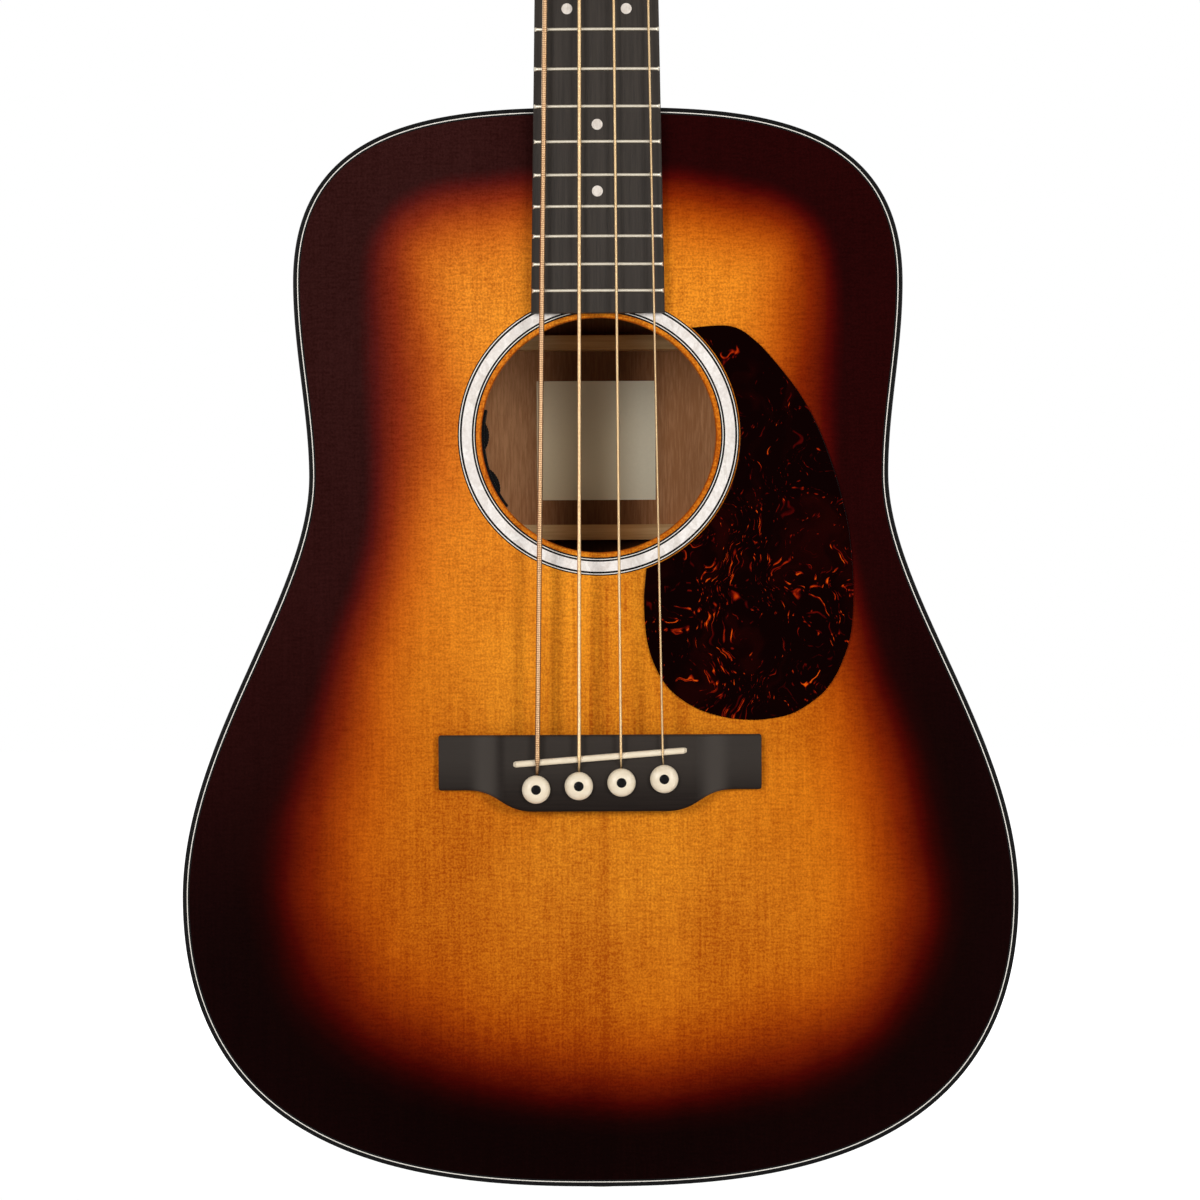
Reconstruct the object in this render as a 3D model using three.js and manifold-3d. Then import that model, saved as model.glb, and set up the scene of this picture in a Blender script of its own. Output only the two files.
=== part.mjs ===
// A short-scale acoustic bass guitar with a sunburst top, four strings and a pickup.
// Millimetres. +Z runs up the neck, +X to the treble side, and the face looks along -Y.
// While it is built, the tail of the body is at z = 0 and the face of the top at y = 0.

import * as THREE from 'three';
import { mergeVertices } from 'three/addons/utils/BufferGeometryUtils.js';
import Module from 'manifold-3d';

const wasm = await Module();
wasm.setup();

// Driving dimensions of the strings and the fingerboard
const scaleLength = 609.6;
const bodyFret = 14;
const fretCount = 20;
const nutWidth = 44.45;
const twelfthFretWidth = 53.98;
const boardThickness = 6.3;
const boardRadius = 406.4;
const boardPastLastFret = 9.0;
const fretWidth = 1.9;
const fretHeight = 1.1;
const stringDiameterE = 2.4;
const stringDiameterA = 1.8;
const stringDiameterD = 1.4;
const stringDiameterG = 1.05;
const stringDiameters = {
  e: stringDiameterE, a: stringDiameterA, d: stringDiameterD, g: stringDiameterG,
};
const nutStringSpread = 35.8;
const saddleStringSpread = 53.9;
const nutAction = 0.5;
const twelfthFretAction = 2.4;
const thinEndShare = 0.68;

// Driving dimensions of the body
const bodyLength = 467.6;
const lowerBoutWidth = 363.0;
const waistWidth = 251.0;
const upperBoutWidth = 264.2;
const lowerBoutHeight = 125.6;
const waistHeight = 308.2;
const upperBoutHeight = 392.2;
const tailDepth = 116;
const heelEndDepth = 92;
const backRadius = 4572;
const topThickness = 2.8;
const backThickness = 2.6;
const rimThickness = 2.3;
const bindingWidth = 1.5;
const bindingHeight = 6.0;
const purflingWidth = 1.1;
const purflingDepth = 1.4;

// Fit between neighbouring pieces, and how far a cutting solid runs past what it cuts
const gap = 0.3;
const overrun = 5;

// How round the curves are
const rimSteps = 32;
const roundSides = 12;
const holeSides = 32;

// How far each stretch of the outline pulls straight before it bends, as shares of the stretch
const outlinePullShares = {
  tailAcross: 0.346, tailUp: 0.965,
  flankUp: 0.371, waistBelow: 0.284,
  waistAbove: 0.329, upperBelow: 0.352,
  shoulderUp: 1, shoulderAcross: 0.436,
};

const finishes = {
  top: { color: 0xb8600f, roughness: 0.3 },
  darkWood: { color: 0x3a1a10, roughness: 0.4 },
  paleWood: { color: 0xc79a62, roughness: 0.8 },
  sapele: { color: 0x6a3a22, roughness: 0.7 },
  ebony: { color: 0x2c2927, roughness: 0.5 },
  blackPlastic: { color: 0x111111, roughness: 0.3 },
  cream: { color: 0xe9dfc6, roughness: 0.4 },
  pearl: { color: 0xc9cfca, roughness: 0.25 },
  tortoiseshell: { color: 0x2a0f08, roughness: 0.2 },
  bronze: { color: 0xb0713c, roughness: 0.35, metalness: 1 },
  nickel: { color: 0xc4c2bc, roughness: 0.25, metalness: 1 },
  steel: { color: 0x83817d, roughness: 0.45, metalness: 1 },
  paper: { color: 0xcfc8b6, roughness: 0.9 },
};

const guitar = new THREE.Group();

function addPiece(name, geometry, finish) {
  const mesh = new THREE.Mesh(geometry, new THREE.MeshStandardMaterial(finishes[finish]));
  mesh.name = name;
  guitar.add(mesh);
  return mesh;
}

// Turns a geometry's faces outwards if they look inwards
function facingOut(geometry) {
  const position = geometry.attributes.position;
  const index = geometry.index.array;
  const [a, b, c] = [new THREE.Vector3(), new THREE.Vector3(), new THREE.Vector3()];
  let volume = 0;
  for (let i = 0; i < index.length; i += 3) {
    a.fromBufferAttribute(position, index[i]);
    b.fromBufferAttribute(position, index[i + 1]);
    c.fromBufferAttribute(position, index[i + 2]);
    volume += a.dot(b.cross(c));
  }
  if (volume < 0) {
    for (let i = 0; i < index.length; i += 3) {
      [index[i], index[i + 1]] = [index[i + 1], index[i]];
    }
  }
  return geometry;
}

function closed(geometry) {
  geometry.deleteAttribute('normal');
  geometry.deleteAttribute('uv');
  return facingOut(mergeVertices(geometry));
}

function solid(geometry) {
  const merged = closed(geometry.clone());
  return new wasm.Manifold(new wasm.Mesh({
    numProp: 3,
    vertProperties: new Float32Array(merged.attributes.position.array),
    triVerts: new Uint32Array(merged.index.array),
  }));
}

function geometryOf(manifold) {
  const mesh = manifold.getMesh();
  const geometry = new THREE.BufferGeometry();
  geometry.setAttribute('position', new THREE.BufferAttribute(mesh.vertProperties, 3));
  geometry.setIndex(new THREE.BufferAttribute(mesh.triVerts, 1));
  return geometry;
}

// Cuts each of the cutters out of a geometry
function cut(geometry, ...cutters) {
  return geometryOf(cutters.reduce((rest, cutter) => rest.subtract(solid(cutter)), solid(geometry)));
}

function common(geometry, ...others) {
  return geometryOf(others.reduce((rest, other) => rest.intersect(solid(other)), solid(geometry)));
}

function joined(geometry, ...others) {
  return geometryOf(others.reduce((rest, other) => rest.add(solid(other)), solid(geometry)));
}

// A skin over rings of points: open and capped at both ends, or closed on itself
// A cap meets in the middle of its ring, or in an apex that is given.
function skin(rings, isLoop = false, apexes = []) {
  const count = rings[0].length;
  const points = rings.flat();
  const faces = [];
  const last = isLoop ? rings.length : rings.length - 1;
  for (let i = 0; i < last; i += 1) {
    const here = i * count;
    const next = ((i + 1) % rings.length) * count;
    for (let j = 0; j < count; j += 1) {
      const k = (j + 1) % count;
      faces.push(here + j, here + k, next + k, here + j, next + k, next + j);
    }
  }
  if (!isLoop) {
    for (const [end, start, isFlipped] of [[0, 0, true], [1, (rings.length - 1) * count, false]]) {
      const middle = new THREE.Vector3();
      for (let j = 0; j < count; j += 1) middle.addScaledVector(points[start + j], 1 / count);
      points.push(apexes[end] ?? middle);
      for (let j = 0; j < count; j += 1) {
        const k = (j + 1) % count;
        faces.push(points.length - 1, start + (isFlipped ? k : j), start + (isFlipped ? j : k));
      }
    }
  }
  const geometry = new THREE.BufferGeometry().setFromPoints(points);
  geometry.setIndex(faces);
  return facingOut(geometry);
}

// A plate drawn in x and z, from its front at yFront to its back at yBack
function plate(shape, yFront, yBack, curveSegments = 12) {
  const geometry = new THREE.ExtrudeGeometry(shape, {
    depth: yBack - yFront, bevelEnabled: false, curveSegments,
  });
  return closed(geometry.rotateX(Math.PI / 2).translate(0, yBack, 0));
}

function polygon(points) {
  return new THREE.Shape(points.map(([x, z]) => new THREE.Vector2(x, z)));
}

function block([x0, y0, z0], [x1, y1, z1]) {
  const geometry = new THREE.BoxGeometry(x1 - x0, y1 - y0, z1 - z0);
  return closed(geometry.translate((x0 + x1) / 2, (y0 + y1) / 2, (z0 + z1) / 2));
}

// A turned solid: its profile lists radius and height, and its axis points the way asked
function turned(profile, place, direction, sides = roundSides) {
  const points = profile.map(([radius, height]) => new THREE.Vector2(radius, height));
  const turn = new THREE.Quaternion().setFromUnitVectors(new THREE.Vector3(0, 1, 0), direction);
  const geometry = new THREE.LatheGeometry(points, sides).applyQuaternion(turn);
  return closed(geometry.translate(place.x, place.y, place.z));
}

function rod(radius, from, to, sides = roundSides) {
  const along = to.clone().sub(from);
  const length = along.length();
  return turned([[0, 0], [radius, 0], [radius, length], [0, length]], from, along.normalize(), sides);
}

// A tube along a line of points, with its own radius and a mitre at each point
function tube(points, radii, sides = 6) {
  const rings = [];
  let across = new THREE.Vector3(1, 0, 0);
  for (let i = 0; i < points.length; i += 1) {
    const before = points[Math.max(i - 1, 0)];
    const after = points[Math.min(i + 1, points.length - 1)];
    const along = after.clone().sub(before).normalize();
    across.addScaledVector(along, -across.dot(along)).normalize();
    const up = along.clone().cross(across);
    const ring = [];
    for (let j = 0; j < sides; j += 1) {
      const angle = (2 * Math.PI * (j + 0.5)) / sides;
      ring.push(points[i].clone()
        .addScaledVector(across, radii[i] * Math.cos(angle))
        .addScaledVector(up, radii[i] * Math.sin(angle)));
    }
    rings.push(ring);
    across = across.clone();
  }
  return skin(rings);
}

const X = new THREE.Vector3(1, 0, 0);
const Y = new THREE.Vector3(0, 1, 0);
const Z = new THREE.Vector3(0, 0, 1);
const sideSigns = { bass: -1, treble: 1 };

// Body outline
// The treble half runs from the tail to the heel, in steps of even length.
const trebleHalf = (() => {
  const p = outlinePullShares;
  const [lower, waist, upper] = [lowerBoutWidth / 2, waistWidth / 2, upperBoutWidth / 2];
  const flank = waistHeight - lowerBoutHeight;
  const rise = upperBoutHeight - waistHeight;
  const shoulder = bodyLength - upperBoutHeight;
  const stretches = [
    [[0, 0], [p.tailAcross * lower, 0],
      [lower, (1 - p.tailUp) * lowerBoutHeight], [lower, lowerBoutHeight]],
    [[lower, lowerBoutHeight], [lower, lowerBoutHeight + p.flankUp * flank],
      [waist, waistHeight - p.waistBelow * flank], [waist, waistHeight]],
    [[waist, waistHeight], [waist, waistHeight + p.waistAbove * rise],
      [upper, upperBoutHeight - p.upperBelow * rise], [upper, upperBoutHeight]],
    [[upper, upperBoutHeight], [upper, upperBoutHeight + p.shoulderUp * shoulder],
      [p.shoulderAcross * upper, bodyLength], [0, bodyLength]],
  ];
  const path = new THREE.CurvePath();
  for (const ends of stretches) {
    path.add(new THREE.CubicBezierCurve(...ends.map(([x, z]) => new THREE.Vector2(x, z))));
  }
  return path.getSpacedPoints(rimSteps);
})();
trebleHalf[0].x = 0;
trebleHalf[rimSteps].x = 0;

const inwardNormals = trebleHalf.map((point, i) => {
  const before = i > 0 ? trebleHalf[i - 1] : new THREE.Vector2(-trebleHalf[1].x, trebleHalf[1].y);
  const after = i < rimSteps ? trebleHalf[i + 1]
    : new THREE.Vector2(-trebleHalf[rimSteps - 1].x, trebleHalf[rimSteps - 1].y);
  const along = after.clone().sub(before).normalize();
  return new THREE.Vector2(-along.y, along.x);
});

function insetHalf(inset) {
  return trebleHalf.map((point, i) => point.clone().addScaledVector(inwardNormals[i], inset));
}

function insetOutline(inset) {
  const half = insetHalf(inset);
  const mirrored = half.slice(1, -1).reverse().map((point) => new THREE.Vector2(-point.x, point.y));
  return [...half, ...mirrored];
}

// Half the body's width at a height, inside the outline by an inset
function halfWidthAt(height, inset) {
  const half = insetHalf(inset);
  const i = half.findIndex((point) => point.y > height);
  const share = (height - half[i - 1].y) / (half[i].y - half[i - 1].y);
  return THREE.MathUtils.lerp(half[i - 1].x, half[i].x, share);
}

// One half's line, from x = tailX at the tail to x = headX at the shoulder
function trimmedHalf(inset, tailX, headX) {
  const half = insetHalf(inset);
  const clearOfCut = (2 * bodyLength) / (rimSteps * rimSteps);
  const limit = (i) => (i < rimSteps / 2 ? tailX : headX) + clearOfCut;
  const kept = trebleHalf.map((point, i) => i).filter((i) => trebleHalf[i].x > limit(i));
  const [first, last] = [kept[0], kept[kept.length - 1]];
  const meet = (a, b, x) => a.clone().lerp(b, (x - a.x) / (b.x - a.x));
  return [
    meet(half[first - 1], half[first], tailX),
    ...kept.map((i) => half[i]),
    meet(half[last], half[last + 1], headX),
  ];
}

// Depth of the body, from the face of the top to the outside of the arched back
function depthAt(x, z) {
  const taper = THREE.MathUtils.lerp(tailDepth, heelEndDepth, z / bodyLength);
  return taper + (z * (bodyLength - z) - x * x) / (2 * backRadius);
}

// A band all round the body, or round one half, between two insets
function bandRings(outer, inner, sign, front, back) {
  return outer.map((outerPoint, i) => {
    const corners = [outerPoint, inner[i]].map((p) => new THREE.Vector2(sign * p.x, p.y));
    const at = (p, y) => new THREE.Vector3(p.x, y(p.x, p.y), p.y);
    const [o, n] = corners;
    return [at(o, front), at(n, front), at(n, back), at(o, back)];
  });
}

function hoop(outerInset, innerInset, front, back) {
  return skin(bandRings(insetOutline(outerInset), insetOutline(innerInset), 1, front, back), true);
}

function halfBand(side, outerInset, innerInset, tailX, headX, front, back) {
  const outer = trimmedHalf(outerInset, tailX, headX);
  const inner = trimmedHalf(innerInset, tailX, headX);
  return skin(bandRings(outer, inner, sideSigns[side], front, back));
}

const purflingInset = bindingWidth + gap;
const topInset = purflingInset + purflingWidth + gap;
const linerInset = rimThickness + gap;
const underTop = topThickness + gap;
const insideBack = (x, z) => depthAt(x, z) - backThickness - gap;

// Binding and purfling round the edges
addPiece('top_binding', hoop(0, bindingWidth, () => 0, () => bindingHeight), 'blackPlastic');
addPiece('top_purfling', hoop(purflingInset, purflingInset + purflingWidth,
  () => 0, () => purflingDepth), 'cream');
addPiece('back_binding', hoop(0, bindingWidth,
  (x, z) => depthAt(x, z) - bindingHeight, depthAt), 'blackPlastic');

// Strings, as places and sizes that the bridge, nut and tuners follow
const nutThickness = 5.0;
const nutBreakShare = 0.6;
const fretFromNut = (n) => scaleLength * (1 - 2 ** (-n / 12));
const nutZ = bodyLength + fretFromNut(bodyFret);
const boardEndZ = nutZ - fretFromNut(fretCount) - boardPastLastFret;
const boardHalfWidth = (z) => (nutWidth
  + (twelfthFretWidth - nutWidth) * ((nutZ - z) / fretFromNut(12))) / 2;
const boardFaceAt = (x) => -(boardThickness - (x * x) / (2 * boardRadius));
const bridgeLineZ = nutZ - scaleLength;
const bassCompensation = 11.9;
const trebleCompensation = 7.7;
const saddleZAt = (x) => bridgeLineZ - (bassCompensation + trebleCompensation) / 2
  + ((bassCompensation - trebleCompensation) * x) / saddleStringSpread;
const stringNames = ['e', 'a', 'd', 'g'];
const stringShare = (i) => i / (stringNames.length - 1) - 1 / 2;

// Height of a string's underside over the top: it rises from the nut to the saddle
function stringUnderside(x, z) {
  const rise = (twelfthFretAction - nutAction) / fretFromNut(12);
  return -boardFaceAt(x) + fretHeight + nutAction + rise * (nutZ - z);
}

// Bridge: it is glued to the top, and holds the saddle and the pins
const bridgeLength = 139.7;
const bridgeWingWidth = 23.8;
const bridgeBellyWidth = 32.9;
const bridgeHeight = 8.5;
const bridgeAheadOfSaddle = 9.55;
const bridgeBellyFlat = 57;
const bridgeBellyStart = 115;
const bridgeCrownLength = 84;
const bridgeScoopLength = 11;
const bridgeWingTipHeight = 3.4;
const bridgeCorner = 3;
const saddleLength = 74.8;
const saddleThickness = 3.1;
const saddleSlotFloor = 1.5;
const pickupThickness = 1.2;
const pickupWidth = 2.4;
const pinSpread = 55.2;
const pinsBehindSaddle = 11.55;
const pinHeadRadius = 6.1;
const pinHeadHeight = 4.2;
const pinTopRadius = 2.9;
const pinTipRadius = 2.3;
const pinLength = 24;
const pinDotRadius = 2.0;
const pinHeadShares = [[0.92, 0], [1, 0.24], [0.94, 0.5], [0.7, 0.83]];

const bridgeTopEdgeZ = saddleZAt(0) + bridgeAheadOfSaddle;
const pinRowZ = saddleZAt(0) - pinsBehindSaddle;
const saddleSlope = (bassCompensation - trebleCompensation) / saddleStringSpread;
const saddleAngle = Math.atan(saddleSlope);
const pinAt = (i) => {
  const x = stringShare(i) * pinSpread;
  return new THREE.Vector3(x, 0, pinRowZ + saddleSlope * x);
};

function bridgeOutline() {
  const half = bridgeLength / 2;
  const wingZ = bridgeTopEdgeZ - bridgeWingWidth;
  const bellyZ = bridgeTopEdgeZ - bridgeBellyWidth;
  const [flat, start] = [bridgeBellyFlat / 2, bridgeBellyStart / 2];
  const bend = (start - flat) / 2;
  const shape = new THREE.Shape();
  shape.moveTo(-half + bridgeCorner, bridgeTopEdgeZ);
  shape.quadraticCurveTo(-half, bridgeTopEdgeZ, -half, bridgeTopEdgeZ - bridgeCorner);
  shape.lineTo(-half, wingZ + bridgeCorner);
  shape.quadraticCurveTo(-half, wingZ, -half + bridgeCorner, wingZ);
  shape.lineTo(-start, wingZ);
  shape.bezierCurveTo(-start + bend, wingZ, -flat - bend, bellyZ, -flat, bellyZ);
  shape.lineTo(flat, bellyZ);
  shape.bezierCurveTo(flat + bend, bellyZ, start - bend, wingZ, start, wingZ);
  shape.lineTo(half - bridgeCorner, wingZ);
  shape.quadraticCurveTo(half, wingZ, half, wingZ + bridgeCorner);
  shape.lineTo(half, bridgeTopEdgeZ - bridgeCorner);
  shape.quadraticCurveTo(half, bridgeTopEdgeZ, half - bridgeCorner, bridgeTopEdgeZ);
  return shape;
}

// What is scooped off the front of a wing
function bridgeScoop(sign) {
  const start = bridgeCrownLength / 2;
  const shape = new THREE.Shape();
  const drop = bridgeHeight - bridgeWingTipHeight;
  shape.moveTo(start, -bridgeHeight - overrun);
  shape.lineTo(start, -bridgeHeight);
  shape.quadraticCurveTo(start + bridgeScoopLength / 2, -bridgeHeight + drop,
    start + 2 * bridgeScoopLength, -bridgeHeight + drop);
  shape.lineTo(bridgeLength / 2 + overrun, -bridgeHeight + drop);
  shape.lineTo(bridgeLength / 2 + overrun, -bridgeHeight - overrun);
  const geometry = new THREE.ExtrudeGeometry(shape, {
    depth: bridgeBellyWidth + 2 * overrun, bevelEnabled: false, curveSegments: 4,
  });
  geometry.translate(0, 0, bridgeTopEdgeZ - bridgeBellyWidth - overrun);
  return closed(geometry.scale(sign, 1, 1));
}

// A bar that follows the slanted saddle line, centred on it
function saddleBar(length, thickness, yFront, yBack) {
  const bar = block([-length / 2, yFront, -thickness / 2], [length / 2, yBack, thickness / 2]);
  return bar.rotateY(-saddleAngle).translate(0, 0, saddleZAt(0));
}

// Bass to treble, a string's line over the saddle and the nut
const saddleTopAt = (x) => stringUnderside(x, saddleZAt(x));
const saddleX = (i) => stringShare(i) * saddleStringSpread;
const nutX = (i) => stringShare(i) * nutStringSpread;

// Headstock: a frame that tilts back from the end of the nut
const headAngle = THREE.MathUtils.degToRad(13);
const headLength = 146;
const headThickness = 15;
const veneerThickness = 1.8;
const headShoulderWidth = 66;
const headPostWidth = 76;
const headTopWidth = 84;
const headCrown = 7;
const headShoulderV = 26;
const lowerPostV = 46;
const upperPostV = 102;
const lowerPostU = 23;
const upperPostU = 20.5;
const headV = new THREE.Vector3(0, Math.sin(headAngle), Math.cos(headAngle));
const headW = new THREE.Vector3(0, -Math.cos(headAngle), Math.sin(headAngle));
const headMatrix = new THREE.Matrix4().makeBasis(X, headV, headW)
  .setPosition(0, 0, nutZ + nutThickness);
const onHead = (u, v, w) => new THREE.Vector3(u, v, w).applyMatrix4(headMatrix);

// Tuners: a plate with its post bush, a post with a gear, and a key with a worm
const postRadius = 5;
const postRise = 19;
const postSlotWidth = 2.8;
const postSlotDepth = 5;
const bushRadius = 6.4;
const bushFlangeRadius = 8.6;
const bushFlangeThickness = 1.6;
const tunerPlateLength = 30;
const tunerPlateWidth = 23;
const tunerPlateThickness = 1.6;
const gearTeeth = 20;
const gearRadius = 7.2;
const gearToothDepth = 1.1;
const gearThickness = 4.6;
const wormRadius = 3.3;
const wormLength = 9.4;
const keyShaftRadius = 2;
const bearingThickness = 2.4;
const bearingHalfWidth = 4;
const keyReach = 9;
const keyLength = 21;
const keyWidth = 25;
const keyThickness = 4.6;
const keyStemRadius = 3.2;
const keyStemLength = 7;
const turnSteps = 10;
const windingSteps = 25;
const windingGap = 0.45;
const windingRise = 13;

const postPlaces = {
  e: { u: -lowerPostU, v: lowerPostV },
  a: { u: -upperPostU, v: upperPostV },
  d: { u: upperPostU, v: upperPostV },
  g: { u: lowerPostU, v: lowerPostV },
};

// A string's line: up beside its pin, over the saddle and the nut, and round its post
// It is thinner behind the saddle, where its outer winding stops.
const thinPointCount = 4;
const thinRadius = (name) => (stringDiameters[name] / 2) * thinEndShare;
function stringLine(name, i) {
  const radius = stringDiameters[name] / 2;
  const thin = thinRadius(name);
  const pin = pinAt(i);
  const besidePin = pin.z + pinTopRadius + gap + thin;
  const underHead = -bridgeHeight + thin;
  const x = saddleX(i);
  const saddleZ = saddleZAt(x);
  const line = [
    new THREE.Vector3(pin.x, -bridgeHeight / 3, besidePin),
    new THREE.Vector3(pin.x, -bridgeHeight / 2, besidePin),
    new THREE.Vector3(pin.x, underHead, pin.z + pinHeadRadius),
    new THREE.Vector3(x, -saddleTopAt(x) - gap - thin, saddleZ - saddleThickness / 2),
    new THREE.Vector3(x, -saddleTopAt(x) - gap - radius, saddleZ + saddleThickness / 2),
  ];
  const overNut = stringUnderside(nutX(i), nutZ) + radius;
  line.push(new THREE.Vector3(nutX(i), -overNut, nutZ));
  line.push(new THREE.Vector3(nutX(i), -overNut, nutZ + nutThickness * nutBreakShare));

  const post = postPlaces[name];
  const inner = Math.sign(post.u);
  const windingRadius = postRadius + gap + radius;
  const start = new THREE.Vector3(nutX(i), 0, 0);
  const toPost = new THREE.Vector2(post.u - start.x, post.v);
  const straight = Math.atan2(toPost.y, toPost.x);
  const lean = Math.acos(windingRadius / toPost.length());
  const firstAngle = straight + Math.PI - inner * lean;
  const pitch = 2 * radius + windingGap;
  for (let step = 0; step <= windingSteps; step += 1) {
    const turn = step / turnSteps;
    const angle = firstAngle - inner * turn * 2 * Math.PI;
    line.push(onHead(post.u + windingRadius * Math.cos(angle),
      post.v + windingRadius * Math.sin(angle), windingRise - turn * pitch));
  }
  return line;
}

const stringLines = Object.fromEntries(stringNames.map((name, i) => [name, stringLine(name, i)]));
function stringTube(name, clearance) {
  const radii = stringLines[name].map((point, i) => (
    clearance + (i < thinPointCount ? thinRadius(name) : stringDiameters[name] / 2)));
  return tube(stringLines[name], radii);
}
const lineClearances = stringNames.map((name) => stringTube(name, gap));

// The least distance between turns of a winding, less its diameter, is printed for each string
for (const name of stringNames) {
  const line = stringLines[name].slice(-(windingSteps + 1));
  let least = Infinity;
  for (let i = 0; i < line.length; i += 1) {
    for (let j = i + turnSteps / 2; j < line.length; j += 1) {
      least = Math.min(least, line[i].distanceTo(line[j]));
    }
  }
  const clear = (least - stringDiameters[name]).toFixed(2);
  console.log(`least gap between turns of string ${name}: ${clear} mm`);
}

for (const name of stringNames) {
  addPiece(`string_${name}`, stringTube(name, 0), 'bronze');
}

// Soundboard, with its soundhole, the rosette's channel and the holes for the pins
const soundholeRadius = 50.8;
const soundholeBelowShoulder = 142;
const soundholeZ = bodyLength - soundholeBelowShoulder;
const rosetteInner = 53.0;
const rosetteOuter = 60.9;
const rosetteDepth = 1.3;
const pinHoleRadius = pinTopRadius + gap;
const soundholeCentre = new THREE.Vector3(0, 0, soundholeZ);

const pinHoles = stringNames.map((name, i) => {
  const pin = pinAt(i);
  return rod(pinHoleRadius, new THREE.Vector3(pin.x, -bridgeHeight - overrun, pin.z),
    new THREE.Vector3(pin.x, pinLength, pin.z));
});

function washer(outer, inner, yFront, yBack, sides = holeSides) {
  const profile = [[inner, 0], [outer, 0], [outer, yBack - yFront], [inner, yBack - yFront], [inner, 0]];
  return turned(profile, soundholeCentre.clone().setY(yFront), Y, sides);
}

const topShape = new THREE.Shape(insetOutline(topInset));
const soundhole = rod(soundholeRadius, soundholeCentre.clone().setY(-overrun),
  soundholeCentre.clone().setY(topThickness + overrun), holeSides);
const rosetteChannel = washer(rosetteOuter + gap, rosetteInner - gap, -overrun, rosetteDepth + gap);
const topBlank = plate(topShape, 0, topThickness);
addPiece('soundboard', cut(topBlank, soundhole, rosetteChannel, ...pinHoles), 'top');
addPiece('rosette', washer(rosetteOuter, rosetteInner, 0, rosetteDepth), 'pearl');

// Pickguard: a thin sheet that follows the rosette on one side and a free curve on the other
const pickguardLength = 170.5;
const pickguardWidth = 91;
const pickguardBelowHole = 123.5;
const pickguardInnerX = 19.3;
const pickguardThickness = 0.9;
const pickguardFromRosette = 1.3;
const pickguardCorner = 1.1;
const pickguardLowZ = soundholeZ - pickguardBelowHole;
const pickguardHoleRadius = rosetteOuter + pickguardFromRosette;
const pickguardShares = [
  [0.420, 0.999], [0.540, 0.960], [0.658, 0.890], [0.760, 0.815], [0.840, 0.733], [0.905, 0.640],
  [0.948, 0.558], [0.982, 0.470], [0.998, 0.340], [0.985, 0.220], [0.938, 0.140], [0.880, 0.085],
  [0.808, 0.048], [0.700, 0.014], [0.571, 0.000], [0.463, 0.000], [0.363, 0.008], [0.258, 0.026],
  [0.168, 0.055], [0.103, 0.088], [0.051, 0.137], [0.018, 0.190], [0.003, 0.254], [0.000, 0.317],
];

function pickguardShape() {
  const free = pickguardShares.map(([x, z]) => new THREE.Vector2(
    pickguardInnerX + x * pickguardWidth, pickguardLowZ + z * pickguardLength));
  const tipZ = pickguardLength + pickguardLowZ - soundholeZ;
  const footX = pickguardInnerX + pickguardCorner;
  const topAngle = Math.asin(tipZ / pickguardHoleRadius) - pickguardCorner / pickguardHoleRadius;
  const footAngle = -Math.acos(footX / pickguardHoleRadius);
  const shape = new THREE.Shape();
  shape.absarc(0, soundholeZ, pickguardHoleRadius, footAngle, topAngle, false);
  shape.splineThru(free);
  return shape;
}
addPiece('pickguard', plate(pickguardShape(), -gap - pickguardThickness, -gap, 2), 'tortoiseshell');

// Back plate: its arch is a dome, so it is built from rings that shrink towards the middle
function archedPlate(inset, thickness, shares) {
  const edge = insetOutline(inset);
  const middleZ = bodyLength / 2;
  const at = (x, z, offset) => new THREE.Vector3(x, depthAt(x, z) - offset, z);
  const surface = (offset) => shares.map((share) => edge.map((p) => (
    at(p.x * share, middleZ + (p.y - middleZ) * share, offset))));
  return skin([...surface(0), ...surface(thickness).reverse()], false,
    [at(0, middleZ, 0), at(0, middleZ, thickness)]);
}
const backRingShares = [0.38, 0.72, 1];
addPiece('back_plate', archedPlate(bindingWidth + gap, backThickness, backRingShares), 'sapele');

// End pin jack, through the tail
const jackBarrelRadius = 6;
const jackY = tailDepth / 2;
const jackFlangeRadius = 10.5;
const jackNeckRadius = 6.8;
const jackRingRadius = 8.8;
const jackFlangeThickness = 1.6;
const jackNeckLength = 3.6;
const jackRingThickness = 2.8;
const jackBoreRadius = 3.3;
const jackBoreLength = 34;
const tailBlockThickness = 20;
const tailBlockWidth = 76;
const jackNutRadius = 9;
const jackNutThickness = 3;
const jackTailLength = 11.5;
const jackHole = rod(jackBarrelRadius + gap, new THREE.Vector3(0, jackY, -overrun),
  new THREE.Vector3(0, jackY, rimThickness + gap + tailBlockThickness + overrun));

// Truss rod, in the neck and through the neck block, with its nut inside the soundhole
const rodRadius = 2.5;
const rodY = 9.6;
const rodFromNut = 22;
const neckBlockLength = 46;
const neckBlockWidth = 80;
const rodNutRadius = 4;
const rodNutLength = 14;
const rodNutHexRadius = 2.6;
const rodNutHexDepth = 6;
const rodEndRadius = 1.9;
const rodEndLength = 6.5;
const neckBlockEndZ = bodyLength - rimThickness - gap - neckBlockLength;
const rodChannel = rod(rodRadius + gap, new THREE.Vector3(0, rodY, neckBlockEndZ - overrun),
  new THREE.Vector3(0, rodY, nutZ - rodFromNut + gap));

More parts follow.
